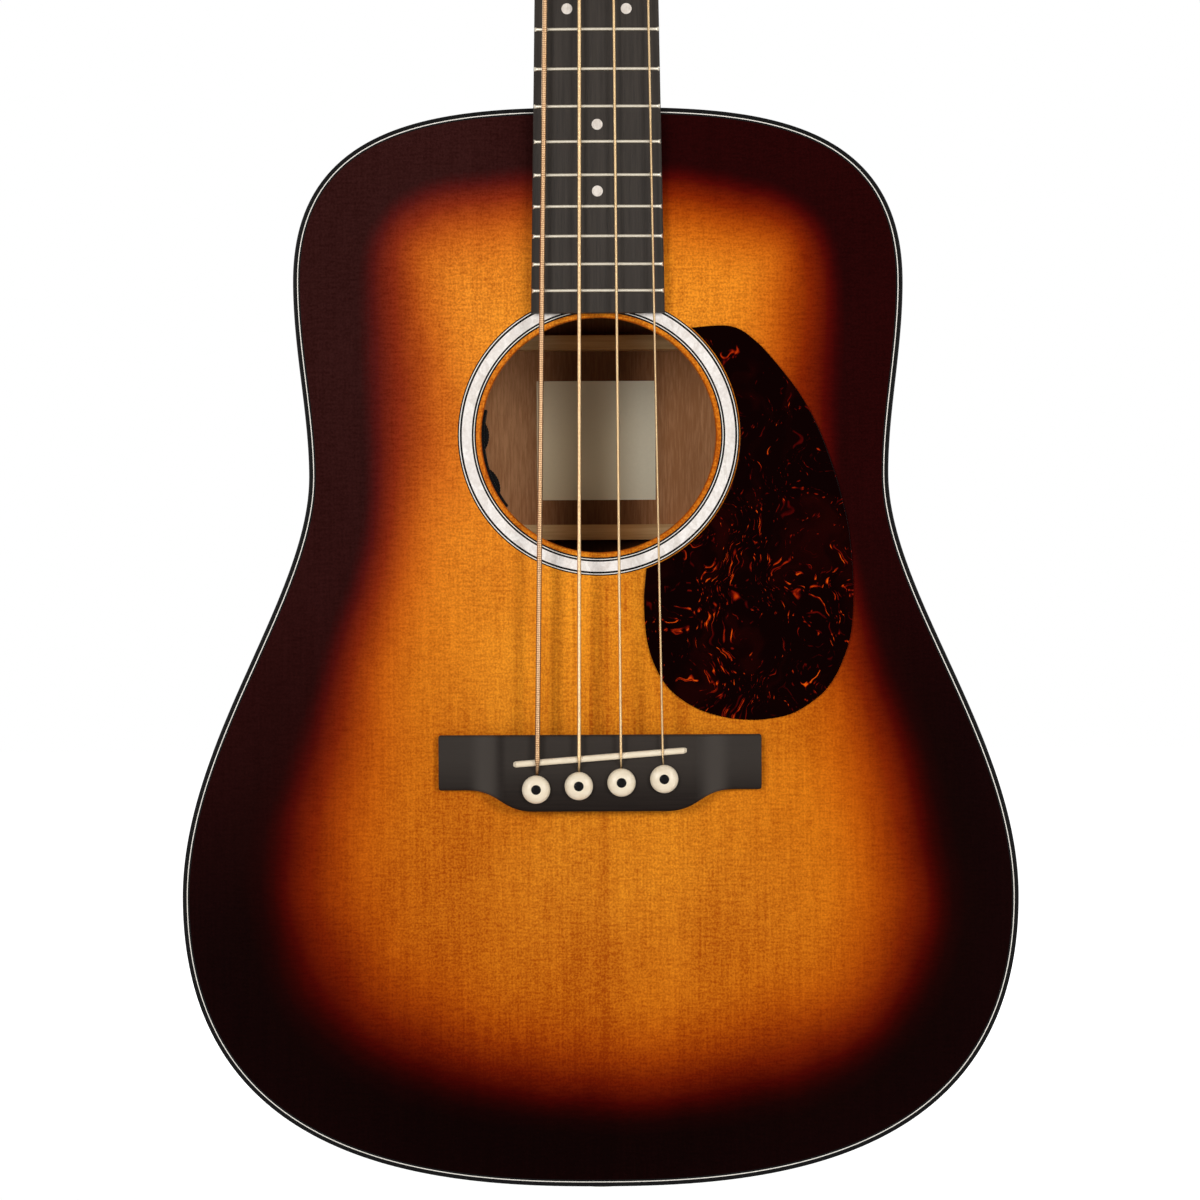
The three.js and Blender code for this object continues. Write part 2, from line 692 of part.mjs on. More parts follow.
// Bent sides, the blocks at both ends, and the lining strips
const linerWidth = 6;
const linerHeight = 12;
const rimFront = () => bindingHeight + gap;
const rimBack = (x, z) => depthAt(x, z) - bindingHeight - gap;
for (const side of ['bass', 'treble']) {
  const rim = halfBand(side, 0, rimThickness, gap / 2, gap / 2, rimFront, rimBack);
  addPiece(`side_${side}`, cut(rim, jackHole, rodChannel), 'darkWood');
  const tailX = tailBlockWidth / 2 + gap;
  const headX = neckBlockWidth / 2 + gap;
  addPiece(`top_lining_${side}`, halfBand(side, linerInset, linerInset + linerWidth, tailX, headX,
    () => underTop, () => underTop + linerHeight), 'paleWood');
  addPiece(`back_lining_${side}`, halfBand(side, linerInset, linerInset + linerWidth, tailX, headX,
    (x, z) => insideBack(x, z) - linerHeight, insideBack), 'paleWood');
}

function insideOf(inset) {
  return plate(new THREE.Shape(insetOutline(inset)), -overrun, tailDepth + overrun);
}

function endBlock(width, zLow, zHigh) {
  const corners = [zLow, zHigh].map((z) => insideBack(width / 2, z));
  const box = block([-width / 2, underTop, zLow], [width / 2, Math.min(...corners), zHigh]);
  return common(box, insideOf(linerInset));
}
addPiece('neck_block', cut(endBlock(neckBlockWidth, neckBlockEndZ, bodyLength), rodChannel), 'paleWood');
addPiece('tail_block', cut(endBlock(tailBlockWidth, 0, linerInset + tailBlockThickness), jackHole),
  'paleWood');

// Braces under the top
const braceWidth = 8;
const braceHeight = 14;
const braceCrossBelowHole = 39;
const braceSpread = THREE.MathUtils.degToRad(50);
const transverseBraceAboveHole = 25.6;
const toneBarHeight = 10;
const toneBarWidth = 7;
const toneBarEndShares = {
  upper: [[-0.31, 0.93], [0.63, 0.55]],
  lower: [[-0.32, 0.68], [0.42, 0.30]],
};
const braceInset = linerInset + linerWidth + gap;
const braceRoom = insideOf(braceInset);
const braceCrossZ = soundholeZ - soundholeRadius - braceCrossBelowHole;
const transverseBraceZ = soundholeZ + soundholeRadius + transverseBraceAboveHole;
const halfLapY = underTop + braceHeight / 2;
const pastBack = tailDepth + overrun;

function crossBar(sign, grow, yFront, yBack) {
  const length = 2 * bodyLength;
  const half = braceWidth / 2 + grow;
  const bar = block([-half, yFront, -length / 2], [half, yBack, length / 2]);
  return bar.rotateY(sign * braceSpread).translate(0, 0, braceCrossZ);
}
const xBraces = {
  bass: [-1, crossBar(1, gap, -overrun, halfLapY + gap / 2)],
  treble: [1, crossBar(-1, gap, halfLapY - gap / 2, pastBack)],
};
for (const [side, [sign, notch]] of Object.entries(xBraces)) {
  const bar = crossBar(sign, 0, underTop, underTop + braceHeight);
  addPiece(`x_brace_${side}`, cut(common(bar, braceRoom), notch), 'paleWood');
}

const wrenchWay = rod(rodNutRadius + 2 * gap, new THREE.Vector3(0, rodY, soundholeZ),
  new THREE.Vector3(0, rodY, neckBlockEndZ));
const transverseBrace = block([-upperBoutWidth / 2, underTop, transverseBraceZ - braceWidth / 2],
  [upperBoutWidth / 2, underTop + braceHeight, transverseBraceZ + braceWidth / 2]);
addPiece('upper_transverse_brace', cut(common(transverseBrace, braceRoom), wrenchWay), 'paleWood');

const braceClearance = [1, -1].map((sign) => crossBar(sign, gap, -overrun, pastBack));

// Bridge plate: hardwood under the bridge, between the legs of the crossed braces
const bridgePlateThickness = 2.5;
const bridgePlateHalfLength = 19;
const bridgePlateAbovePins = 4.5;
const bridgePlateZ = pinRowZ + bridgePlateAbovePins;
const legXAt = (z) => (braceCrossZ - z) * Math.tan(braceSpread)
  - (braceWidth / 2 + gap) / Math.cos(braceSpread);
const plateTop = bridgePlateZ + bridgePlateHalfLength;
const plateFoot = bridgePlateZ - bridgePlateHalfLength;
const bridgePlateShape = polygon([
  [-legXAt(plateFoot), plateFoot], [legXAt(plateFoot), plateFoot],
  [legXAt(plateTop), plateTop], [-legXAt(plateTop), plateTop],
]);
const bridgePlate = plate(bridgePlateShape, underTop, underTop + bridgePlateThickness);
addPiece('bridge_plate', cut(bridgePlate, ...pinHoles), 'paleWood');

// Tone bars: their ends are shares of the way to a brace's leg, and of the height under the plate
for (const [name, ends] of Object.entries(toneBarEndShares)) {
  const [start, end] = ends.map(([across, up]) => {
    const z = up * plateFoot;
    return new THREE.Vector2(across * legXAt(z), z);
  });
  const half = start.distanceTo(end) / 2;
  const bar = block([-half, underTop, -toneBarWidth / 2],
    [half, underTop + toneBarHeight, toneBarWidth / 2]);
  bar.rotateY(Math.atan2(start.y - end.y, end.x - start.x));
  bar.translate((start.x + end.x) / 2, 0, (start.y + end.y) / 2);
  addPiece(`tone_bar_${name}`, cut(common(bar, braceRoom), ...braceClearance), 'paleWood');
}

// Bridge, saddle, pickup strip and pins
const saddleSlot = saddleBar(saddleLength + 2 * gap, saddleThickness + 2 * gap,
  -bridgeHeight - overrun, -saddleSlotFloor);
const bridgeBlank = plate(bridgeOutline(), -bridgeHeight, -gap, 4);
addPiece('bridge', cut(bridgeBlank, bridgeScoop(-1), bridgeScoop(1), saddleSlot,
  ...pinHoles, ...lineClearances), 'ebony');

const pickupBack = -saddleSlotFloor - gap;
addPiece('saddle_pickup', saddleBar(saddleLength, pickupWidth, pickupBack - pickupThickness,
  pickupBack), 'blackPlastic');

function saddleShape() {
  const half = saddleLength / 2;
  const foot = pickupBack - pickupThickness - gap;
  const endRadius = saddleThickness / 2;
  const crown = [-half + endRadius, saddleX(0), saddleX(1), saddleX(2), saddleX(3), half - endRadius];
  const points = crown.map((x) => new THREE.Vector2(x, -saddleTopAt(x)));
  const [bassEnd, trebleEnd] = [points[0].y, points[points.length - 1].y];
  return new THREE.Shape([
    new THREE.Vector2(-half, foot), new THREE.Vector2(-half, bassEnd + endRadius), ...points,
    new THREE.Vector2(half, trebleEnd + endRadius), new THREE.Vector2(half, foot),
  ]);
}
const saddle = new THREE.ExtrudeGeometry(saddleShape(), { depth: saddleThickness, bevelEnabled: false });
saddle.translate(0, 0, -saddleThickness / 2).rotateY(-saddleAngle).translate(0, 0, saddleZAt(0));
addPiece('saddle', closed(saddle), 'cream');

stringNames.forEach((name, i) => {
  const seat = pinAt(i).setY(-bridgeHeight - gap);
  const profile = [
    [0, -pinLength], [pinTipRadius, -pinLength], [pinTopRadius, 0],
    ...pinHeadShares.map(([across, up]) => [pinHeadRadius * across, pinHeadHeight * up]),
    [pinDotRadius, pinHeadHeight], [0, pinHeadHeight],
  ];
  addPiece(`bridge_pin_${name}`, turned(profile, seat, Y.clone().negate(), roundSides), 'cream');
});

// Back braces, and the bare paper label between the two upper ones
const backBraceAboveHole = 45.8;
const backBraceBelowHole = 40.5;
const lowerBackBraceShares = [0.68, 0.345];
const backBraceWidths = [6.4, 6.9, 12, 12];
const backBraceHeights = [14, 14, 10, 10];
const backBraceSteps = 6;
const backBraceTopShare = 0.8;
const secondBackBraceZ = soundholeZ - backBraceBelowHole;
const backBraceZs = [soundholeZ + backBraceAboveHole, secondBackBraceZ,
  ...lowerBackBraceShares.map((share) => share * secondBackBraceZ)];
backBraceZs.forEach((z, n) => {
  const [low, high] = [z - backBraceWidths[n] / 2, z + backBraceWidths[n] / 2];
  const half = Math.min(halfWidthAt(low, braceInset), halfWidthAt(high, braceInset));
  const back = (x) => Math.min(insideBack(x, low), insideBack(x, high));
  const arch = [];
  for (let i = 0; i <= backBraceSteps; i += 1) {
    const x = THREE.MathUtils.lerp(half, -half, i / backBraceSteps);
    arch.push(new THREE.Vector2(x, back(x) - gap / 3));
  }
  const tip = back(half) - backBraceHeights[n] / 3;
  const front = back(0) - backBraceHeights[n];
  const shape = new THREE.Shape([
    new THREE.Vector2(-half, tip), new THREE.Vector2(-half * backBraceTopShare, front),
    new THREE.Vector2(half * backBraceTopShare, front), new THREE.Vector2(half, tip), ...arch,
  ]);
  const bar = new THREE.ExtrudeGeometry(shape, { depth: high - low, bevelEnabled: false });
  addPiece(`back_brace_${n + 1}`, closed(bar.translate(0, 0, low)), 'paleWood');
});

const labelSize = 54.5;
const labelThickness = 0.5;
const labelAboveHoleCentre = 2.6;
const labelZ = soundholeZ + labelAboveHoleCentre;
const labelBack = insideBack(labelSize / 2, labelZ + labelSize / 2);
addPiece('label', block([-labelSize / 2, labelBack - labelThickness, labelZ - labelSize / 2],
  [labelSize / 2, labelBack, labelZ + labelSize / 2]), 'paper');

// Fingerboard: its face is a shallow arch, and its frets follow the arch
const archSteps = 4;
function boardSection(z) {
  const half = boardHalfWidth(z);
  const face = [];
  for (let i = 0; i <= archSteps; i += 1) {
    const x = THREE.MathUtils.lerp(-half, half, i / archSteps);
    face.push(new THREE.Vector3(x, boardFaceAt(x), z));
  }
  return [new THREE.Vector3(half, -gap, z), new THREE.Vector3(-half, -gap, z), ...face];
}

function fret(n) {
  const z = nutZ - fretFromNut(n);
  const half = boardHalfWidth(z) - fretHeight / 4;
  const rings = [];
  for (let i = 0; i <= archSteps; i += 1) {
    const x = THREE.MathUtils.lerp(-half, half, i / archSteps);
    const face = boardFaceAt(x);
    const isEnd = i === 0 || i === archSteps;
    const top = isEnd ? fretHeight / 2 : fretHeight;
    rings.push([
      new THREE.Vector3(x, face + fretHeight, z - fretWidth / 2),
      new THREE.Vector3(x, face - top, z - fretWidth / 4),
      new THREE.Vector3(x, face - top, z + fretWidth / 4),
      new THREE.Vector3(x, face + fretHeight, z + fretWidth / 2),
    ]);
  }
  return skin(rings);
}
const board = skin([boardSection(boardEndZ), boardSection(nutZ - gap)]);
const frets = Array.from({ length: fretCount }, (_, i) => fret(i + 1));
addPiece('fingerboard', joined(board, ...frets), 'ebony');

// Nut, with a slot for each string
const nutTopAt = (x) => stringUnderside(x, nutZ) + stringDiameters.e * 0.6;
const nutFace = [-1, -0.5, 0, 0.5, 1].map((share) => (share * nutWidth) / 2);
const nutProfile = new THREE.Shape([
  ...nutFace.map((x) => new THREE.Vector2(x, -nutTopAt(x))),
  new THREE.Vector2(nutWidth / 2, -gap), new THREE.Vector2(-nutWidth / 2, -gap),
]);
const nutBlank = new THREE.ExtrudeGeometry(nutProfile, { depth: nutThickness - gap, bevelEnabled: false });
addPiece('nut', cut(closed(nutBlank.translate(0, 0, nutZ)), ...lineClearances), 'cream');

// Neck: a shaft that deepens into the heel, and the headstock in one piece with it
const neckDepthAtNut = 15.6;
const neckDepthAtHeel = 18.4;
const heelLength = 66;
const heelReach = 150;
const heelShortOfBack = 6;
const heelCurve = 2.3;
const heelSteps = 8;
const sectionSteps = 12;
const shaftRoundness = 0.75;
const heelRoundness = 1.9;
const heelCapDepth = heelEndDepth - heelShortOfBack;
const heelStartZ = bodyLength + gap;

function neckSection(z) {
  const half = boardHalfWidth(z);
  const along = THREE.MathUtils.clamp((nutZ - z) / (nutZ - heelStartZ), 0, 1);
  const heel = THREE.MathUtils.clamp(1 - (z - heelStartZ) / heelLength, 0, 1) ** heelCurve;
  const shaft = THREE.MathUtils.lerp(neckDepthAtNut, neckDepthAtHeel, along);
  const depth = THREE.MathUtils.lerp(shaft, heelReach, heel);
  const power = THREE.MathUtils.lerp(shaftRoundness, heelRoundness, Math.sqrt(heel));
  const points = [];
  for (let i = 0; i <= sectionSteps; i += 1) {
    const angle = (Math.PI * i) / sectionSteps;
    const across = Math.cos(angle);
    points.push(new THREE.Vector3(Math.sign(across) * half * Math.abs(across) ** power,
      depth * Math.sin(angle), z));
  }
  return points;
}
const neckStations = [nutZ + nutThickness, nutZ - fretFromNut(5), heelStartZ + heelLength];
for (let i = 1; i <= heelSteps; i += 1) {
  neckStations.push(heelStartZ + heelLength * (1 - i / heelSteps));
}
const heelOffcut = block([-nutWidth, heelCapDepth, heelStartZ - overrun],
  [nutWidth, heelReach + overrun, heelStartZ + heelLength]);
const shaft = cut(skin(neckStations.map(neckSection)), heelOffcut);

function headPlan(footV) {
  const [n, s, p, t] = [nutWidth, headShoulderWidth, headPostWidth, headTopWidth].map((w) => w / 2);
  const shape = new THREE.Shape();
  shape.moveTo(-n, footV);
  shape.lineTo(n, footV);
  shape.lineTo(n, headShoulderV / 6);
  shape.bezierCurveTo(n, headShoulderV / 2, s - (s - n) / 2, headShoulderV * 0.7, s, headShoulderV);
  shape.quadraticCurveTo(p, lowerPostV * 0.85, p, lowerPostV * 1.3);
  shape.lineTo(t, headLength - headCrown * 1.5);
  shape.quadraticCurveTo(t, headLength - headCrown, t - headCrown, headLength - headCrown);
  shape.quadraticCurveTo(0, headLength + headCrown, -t + headCrown, headLength - headCrown);
  shape.quadraticCurveTo(-t, headLength - headCrown, -t, headLength - headCrown * 1.5);
  shape.lineTo(-p, lowerPostV * 1.3);
  shape.quadraticCurveTo(-p, lowerPostV * 0.85, -s, headShoulderV);
  shape.bezierCurveTo(-s + (s - n) / 2, headShoulderV * 0.7, -n, headShoulderV / 2, -n, headShoulderV / 6);
  return shape;
}

// A slab of the headstock's outline, between two heights over its face
function headSlab(footV, wLow, wHigh) {
  const slab = new THREE.ExtrudeGeometry(headPlan(footV), {
    depth: wHigh - wLow, bevelEnabled: false, curveSegments: 4,
  });
  return closed(slab.translate(0, 0, wLow).applyMatrix4(headMatrix));
}

function headSide() {
  const corner = (v, w) => {
    const point = onHead(0, v, w);
    return new THREE.Vector2(point.y, point.z);
  };
  const shape = new THREE.Shape([
    new THREE.Vector2(0, nutZ - nutThickness), new THREE.Vector2(0, nutZ + nutThickness),
    corner(headLength + headCrown, 0), corner(headLength + headCrown, -headThickness),
    corner(headShoulderV / 3, -headThickness),
    new THREE.Vector2(neckDepthAtNut * 0.8, nutZ - nutThickness),
  ]);
  const geometry = new THREE.ExtrudeGeometry(shape, { depth: 2 * headTopWidth, bevelEnabled: false });
  geometry.applyMatrix4(new THREE.Matrix4().makeBasis(Y, Z, X)).translate(-headTopWidth, 0, 0);
  return closed(geometry);
}
const bushHoles = Object.values(postPlaces).map(({ u, v }) => rod(bushRadius + gap,
  onHead(u, v, -headThickness - overrun), onHead(u, v, veneerThickness + overrun)));
const head = common(headSlab(-headShoulderV, -2 * headThickness, headThickness), headSide());
addPiece('neck', cut(joined(shaft, head), rodChannel, ...bushHoles), 'darkWood');
addPiece('head_veneer', cut(headSlab(gap, gap, gap + veneerThickness), ...bushHoles), 'ebony');

// Truss rod and its nut
const rodEnd = neckBlockEndZ - gap;
const rodLength = nutZ - rodFromNut - rodEnd + rodEndLength;
addPiece('truss_rod', turned([
  [0, 0], [rodEndRadius, 0], [rodEndRadius, rodEndLength], [rodRadius, rodEndLength],
  [rodRadius, rodLength], [0, rodLength],
], new THREE.Vector3(0, rodY, rodEnd - rodEndLength), Z, 12), 'steel');

const rodNutTop = rodEnd - gap;
const rodNutFoot = rodNutTop - rodNutLength;
const hexSocket = rod(rodNutHexRadius, new THREE.Vector3(0, rodY, rodNutFoot - overrun),
  new THREE.Vector3(0, rodY, rodNutFoot + rodNutHexDepth), 6);
const nutThread = rod(rodEndRadius + gap, new THREE.Vector3(0, rodY, rodNutTop - rodEndLength),
  new THREE.Vector3(0, rodY, rodNutTop + overrun), 12);
addPiece('truss_rod_nut', cut(rod(rodNutRadius, new THREE.Vector3(0, rodY, rodNutFoot),
  new THREE.Vector3(0, rodY, rodNutTop), 12), hexSocket, nutThread), 'steel');

// Tuners
const plateW = -headThickness - gap;
const shaftW = plateW - tunerPlateThickness - gap - wormRadius;
const shaftV = -(gearRadius + wormRadius + gap);
const bearingU = wormLength / 2 + gap + bearingThickness / 2;

function onTuner(place, a, b, w) {
  return onHead(place.u + Math.sign(place.u) * a, place.v + b, w);
}

function tunerBlock(place, [a0, b0, w0], [a1, b1, w1]) {
  const box = block([a0, b0, w0], [a1, b1, w1]).scale(Math.sign(place.u), 1, 1);
  return facingOut(box.translate(place.u, place.v, 0).applyMatrix4(headMatrix));
}

function tunerPlate(place) {
  const [halfA, plateBack] = [tunerPlateWidth / 2, plateW - tunerPlateThickness];
  const flatPlate = tunerBlock(place, [-halfA, shaftV - bearingHalfWidth - gap, plateBack],
    [halfA, shaftV - bearingHalfWidth - gap + tunerPlateLength, plateW]);
  const bushTop = gap + veneerThickness + gap;
  const bushLength = bushTop - plateW + gap;
  const bush = turned([
    [0, 0], [bushRadius, 0], [bushRadius, bushLength], [bushFlangeRadius, bushLength],
    [bushFlangeRadius, bushLength + bushFlangeThickness], [0, bushLength + bushFlangeThickness],
  ], onTuner(place, 0, 0, plateW - gap), headW);
  const bearings = [-1, 1].map((end) => tunerBlock(place,
    [end * bearingU - bearingThickness / 2, shaftV - bearingHalfWidth, shaftW - bearingHalfWidth],
    [end * bearingU + bearingThickness / 2, shaftV + bearingHalfWidth, plateBack + gap]));
  const postHole = rod(postRadius + gap, onTuner(place, 0, 0, shaftW),
    onTuner(place, 0, 0, bushTop + bushFlangeThickness + overrun));
  const shaftHole = rod(keyShaftRadius + gap, onTuner(place, -tunerPlateWidth, shaftV, shaftW),
    onTuner(place, tunerPlateWidth, shaftV, shaftW), 12);
  return cut(joined(flatPlate, bush, ...bearings), postHole, shaftHole);
}

function tunerPost(place) {
  const teeth = new THREE.Shape(Array.from({ length: 2 * gearTeeth }, (_, i) => {
    const angle = (Math.PI * i) / gearTeeth;
    const radius = i % 2 ? gearRadius - gearToothDepth : gearRadius;
    return new THREE.Vector2(radius * Math.cos(angle), radius * Math.sin(angle));
  }));
  const gear = new THREE.ExtrudeGeometry(teeth, { depth: gearThickness, bevelEnabled: false });
  gear.translate(place.u, place.v, shaftW - gearThickness / 2).applyMatrix4(headMatrix);
  const post = rod(postRadius, onTuner(place, 0, 0, shaftW), onTuner(place, 0, 0, postRise));
  const slot = block([-postSlotWidth / 2, -2 * postRadius, postRise - postSlotDepth],
    [postSlotWidth / 2, 2 * postRadius, postRise + overrun]);
  slot.translate(place.u, place.v, 0).applyMatrix4(headMatrix);
  return cut(joined(post, closed(gear)), slot);
}

function tunerKey(place) {
  const shaftEnd = bearingU + bearingThickness / 2 + gap;
  const edge = headTopWidth / 2 - Math.abs(place.u) + keyReach;
  const outward = X.clone().multiplyScalar(Math.sign(place.u));
  const profile = [[0, -shaftEnd], [keyShaftRadius, -shaftEnd]];
  const threads = 3;
  profile.push([keyShaftRadius, -wormLength / 2]);
  for (let i = 0; i <= threads; i += 1) {
    const height = wormLength * (i / threads - 1 / 2);
    profile.push([wormRadius - gearToothDepth / 2, height]);
    if (i < threads) profile.push([wormRadius, height + wormLength / threads / 2]);
  }
  profile.push([keyShaftRadius, wormLength / 2], [keyShaftRadius, edge - keyStemLength]);
  profile.push([keyStemRadius, edge - keyStemLength], [keyStemRadius, edge + gap], [0, edge + gap]);
  const shaftPiece = turned(profile, onTuner(place, 0, shaftV, shaftW), outward, 10);
  const outline = new THREE.Shape();
  outline.absellipse(0, 0, keyLength / 2, keyWidth / 2, 0, 2 * Math.PI);
  const wing = new THREE.ExtrudeGeometry(outline, {
    depth: keyThickness, bevelEnabled: false, curveSegments: 8,
  });
  const centre = Math.abs(place.u) + edge + keyLength / 2 - keyThickness / 6;
  wing.translate(Math.sign(place.u) * centre, place.v + shaftV, shaftW - keyThickness / 2);
  return joined(shaftPiece, closed(wing.applyMatrix4(headMatrix)));
}

for (const [name, place] of Object.entries(postPlaces)) {
  addPiece(`tuner_plate_${name}`, tunerPlate(place), 'nickel');
  addPiece(`tuner_post_${name}`, tunerPost(place), 'nickel');
  addPiece(`tuner_key_${name}`, tunerKey(place), 'nickel');
}

// Preamp: a slim housing under the top at the rim of the soundhole, with two thumbwheels
const preampLip = 1.2;
const preampWidth = 22;
const preampDepth = 11;
const preampTopAngle = THREE.MathUtils.degToRad(167);
const preampFootAngle = THREE.MathUtils.degToRad(217.5);
const wheelRadius = 10.8;
const wheelThickness = 3;
const wheelProud = 3.3;
const wheelPinRadius = 1.5;
const wheelPinLength = 1.6;
const wheelCentre = soundholeRadius - wheelProud + wheelRadius;
const wheelAngles = { volume: Math.PI, tone: THREE.MathUtils.degToRad(203.4) };
const wheelBelowTop = 2.6;
const wheelY = underTop + wheelBelowTop;
const preampInner = soundholeRadius - preampLip;

const preampShape = new THREE.Shape();
preampShape.absarc(0, soundholeZ, preampInner, preampTopAngle, preampFootAngle, false);
preampShape.absarc(0, soundholeZ, preampInner + preampWidth, preampFootAngle, preampTopAngle, true);
const wheelRooms = [];
for (const [name, angle] of Object.entries(wheelAngles)) {
  const at = (y) => new THREE.Vector3(wheelCentre * Math.cos(angle), y,
    soundholeZ + wheelCentre * Math.sin(angle));
  wheelRooms.push(rod(wheelRadius + 2 * gap, at(wheelY - gap), at(wheelY + wheelThickness + gap), 18));
  wheelRooms.push(rod(wheelPinRadius + gap, at(wheelY - wheelPinLength - gap),
    at(wheelY + wheelThickness + wheelPinLength + gap), 8));
  const profile = [
    [0, -wheelPinLength], [wheelPinRadius, -wheelPinLength], [wheelPinRadius, 0], [wheelRadius, 0],
    [wheelRadius, wheelThickness], [wheelPinRadius, wheelThickness],
    [wheelPinRadius, wheelThickness + wheelPinLength], [0, wheelThickness + wheelPinLength],
  ];
  addPiece(`${name}_wheel`, turned(profile, at(wheelY), Y, 18), 'blackPlastic');
}
addPiece('preamp', cut(plate(preampShape, underTop, underTop + preampDepth, 8), ...wheelRooms,
  ...braceClearance), 'blackPlastic');

// End pin jack and heel strap button
const jackOuter = jackFlangeThickness + jackNeckLength + jackRingThickness;
const jackNeckEnd = jackRingThickness + jackNeckLength;
const jackNutStart = jackOuter + gap + linerInset + tailBlockThickness + gap;
addPiece('end_pin_jack', turned([
  [0, jackBoreLength], [jackBoreRadius, jackBoreLength], [jackBoreRadius, 0],
  [jackRingRadius, 0], [jackRingRadius, jackRingThickness], [jackNeckRadius, jackRingThickness],
  [jackNeckRadius, jackNeckEnd], [jackFlangeRadius, jackNeckEnd],
  [jackFlangeRadius, jackOuter], [jackBarrelRadius, jackOuter],
  [jackBarrelRadius, jackNutStart], [jackNutRadius, jackNutStart],
  [jackNutRadius, jackNutStart + jackNutThickness],
  [jackBarrelRadius, jackNutStart + jackNutThickness],
  [jackBarrelRadius, jackNutStart + jackNutThickness + jackTailLength],
  [0, jackNutStart + jackNutThickness + jackTailLength],
], new THREE.Vector3(0, jackY, -jackOuter - gap), Z), 'nickel');

const buttonRadius = 6.4;
const buttonHeight = 10;
const buttonFromBody = 9;
const buttonShares = [[0.8, 0], [0.56, 0.25], [0.56, 0.6], [1, 0.8], [1, 1]];
const buttonZ = heelStartZ + buttonFromBody;
addPiece('heel_strap_button', turned([
  [0, 0], ...buttonShares.map(([across, up]) => [buttonRadius * across, buttonHeight * up]),
  [0, buttonHeight],
], new THREE.Vector3(0, heelCapDepth + gap, buttonZ), Y), 'nickel');

// The origin is under the middle of the whole guitar
const box = new THREE.Box3().setFromObject(guitar);
const middle = box.getCenter(new THREE.Vector3());
guitar.position.set(-middle.x, -middle.y, -box.min.z);
console.log('moved by', guitar.position.toArray().map((value) => value.toFixed(3)).join(' '));

export default guitar;
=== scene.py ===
import math

import bpy
import numpy as np
from mathutils import Matrix, Vector


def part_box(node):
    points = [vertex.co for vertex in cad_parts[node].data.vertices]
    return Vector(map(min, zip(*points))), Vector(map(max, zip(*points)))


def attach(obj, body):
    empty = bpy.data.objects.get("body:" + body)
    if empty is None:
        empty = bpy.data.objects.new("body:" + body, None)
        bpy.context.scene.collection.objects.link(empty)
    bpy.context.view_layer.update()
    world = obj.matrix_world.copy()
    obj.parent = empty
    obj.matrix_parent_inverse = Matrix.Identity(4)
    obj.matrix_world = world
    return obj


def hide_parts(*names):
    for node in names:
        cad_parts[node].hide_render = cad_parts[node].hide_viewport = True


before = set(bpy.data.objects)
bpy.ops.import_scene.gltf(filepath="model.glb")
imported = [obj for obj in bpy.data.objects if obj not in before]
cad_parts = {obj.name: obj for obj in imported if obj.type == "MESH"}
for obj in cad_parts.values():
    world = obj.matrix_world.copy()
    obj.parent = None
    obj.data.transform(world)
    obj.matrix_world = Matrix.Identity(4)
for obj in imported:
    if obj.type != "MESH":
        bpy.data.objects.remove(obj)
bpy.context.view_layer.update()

# The camera stands 1.65 m in front of the top, level with a place between the bridge and the
# soundhole, and sees the body and the last frets. Four soft lamps and a pale room light the
# guitar to about the level at which a colour renders as it is written.
camera_distance = 1.65
view_width = 0.5198
view_middle = Vector((0.0003, 0, 0.2624))
view_roll = math.radians(-0.27)
lens_sensor = 36

bpy.context.scene.view_settings.view_transform = "Standard"
camera = bpy.data.objects.new("camera", bpy.data.cameras.new("camera"))
bpy.context.scene.collection.objects.link(camera)
camera.data.sensor_width = lens_sensor
camera.data.lens = lens_sensor * camera_distance / view_width
top_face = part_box("soundboard")[0].y
camera.location = view_middle + Vector((0, top_face - camera_distance, 0))
facing = Matrix.Rotation(math.pi / 2, 3, "X") @ Matrix.Rotation(view_roll, 3, "Z")
camera.rotation_euler = facing.to_euler()
bpy.context.scene.camera = camera

lamps = {
    "key": {"place": (1.43, -2.05, 0.7), "size": 0.7, "power": 26.5},
    "fill": {"place": (-1.25, -2.16, 0.7), "size": 0.7, "power": 25.5},
    "rim": {"place": (1.4, 1.9, 1.4), "size": 1.2, "power": 26},
    "back": {"place": (-1.5, 1.8, 0.6), "size": 1.6, "power": 16},
}
lamp_aim = Vector((0, 0, 0.35))
for name, lamp in lamps.items():
    light = bpy.data.lights.new(name, "AREA")
    light.energy = lamp["power"]
    light.size = lamp["size"]
    holder = bpy.data.objects.new(name, light)
    bpy.context.scene.collection.objects.link(holder)
    holder.location = lamp["place"]
    holder.rotation_euler = (lamp_aim - holder.location).to_track_quat("-Z", "Y").to_euler()


class Signal:
    """A socket of a material's nodes that ordinary arithmetic works on."""

    def __init__(self, nodes, socket):
        self.nodes = nodes
        self.socket = socket

    def worked(self, operation, *values):
        return self.nodes.node("ShaderNodeMath", {"operation": operation}, dict(enumerate(values)))

    def __add__(self, other):
        return self.worked("ADD", self, other)

    def __sub__(self, other):
        return self.worked("SUBTRACT", self, other)

    def __rsub__(self, other):
        return self.worked("SUBTRACT", other, self)

    def __mul__(self, other):
        return self.worked("MULTIPLY", self, other)

    def __truediv__(self, other):
        return self.worked("DIVIDE", self, other)

    def __abs__(self):
        return self.worked("ABSOLUTE", self)

    __radd__ = __add__
    __rmul__ = __mul__

    def sine(self):
        return self.worked("SINE", self)

    def least(self, other):
        return self.worked("MINIMUM", self, other)

    def most(self, other):
        return self.worked("MAXIMUM", self, other)

    def between(self, low, high):
        """0 below low, 1 above high, and smooth from one to the other."""
        ranged = {"interpolation_type": "SMOOTHSTEP"}
        return self.nodes.node("ShaderNodeMapRange", ranged, {0: self, 1: low, 2: high, 3: 0, 4: 1})


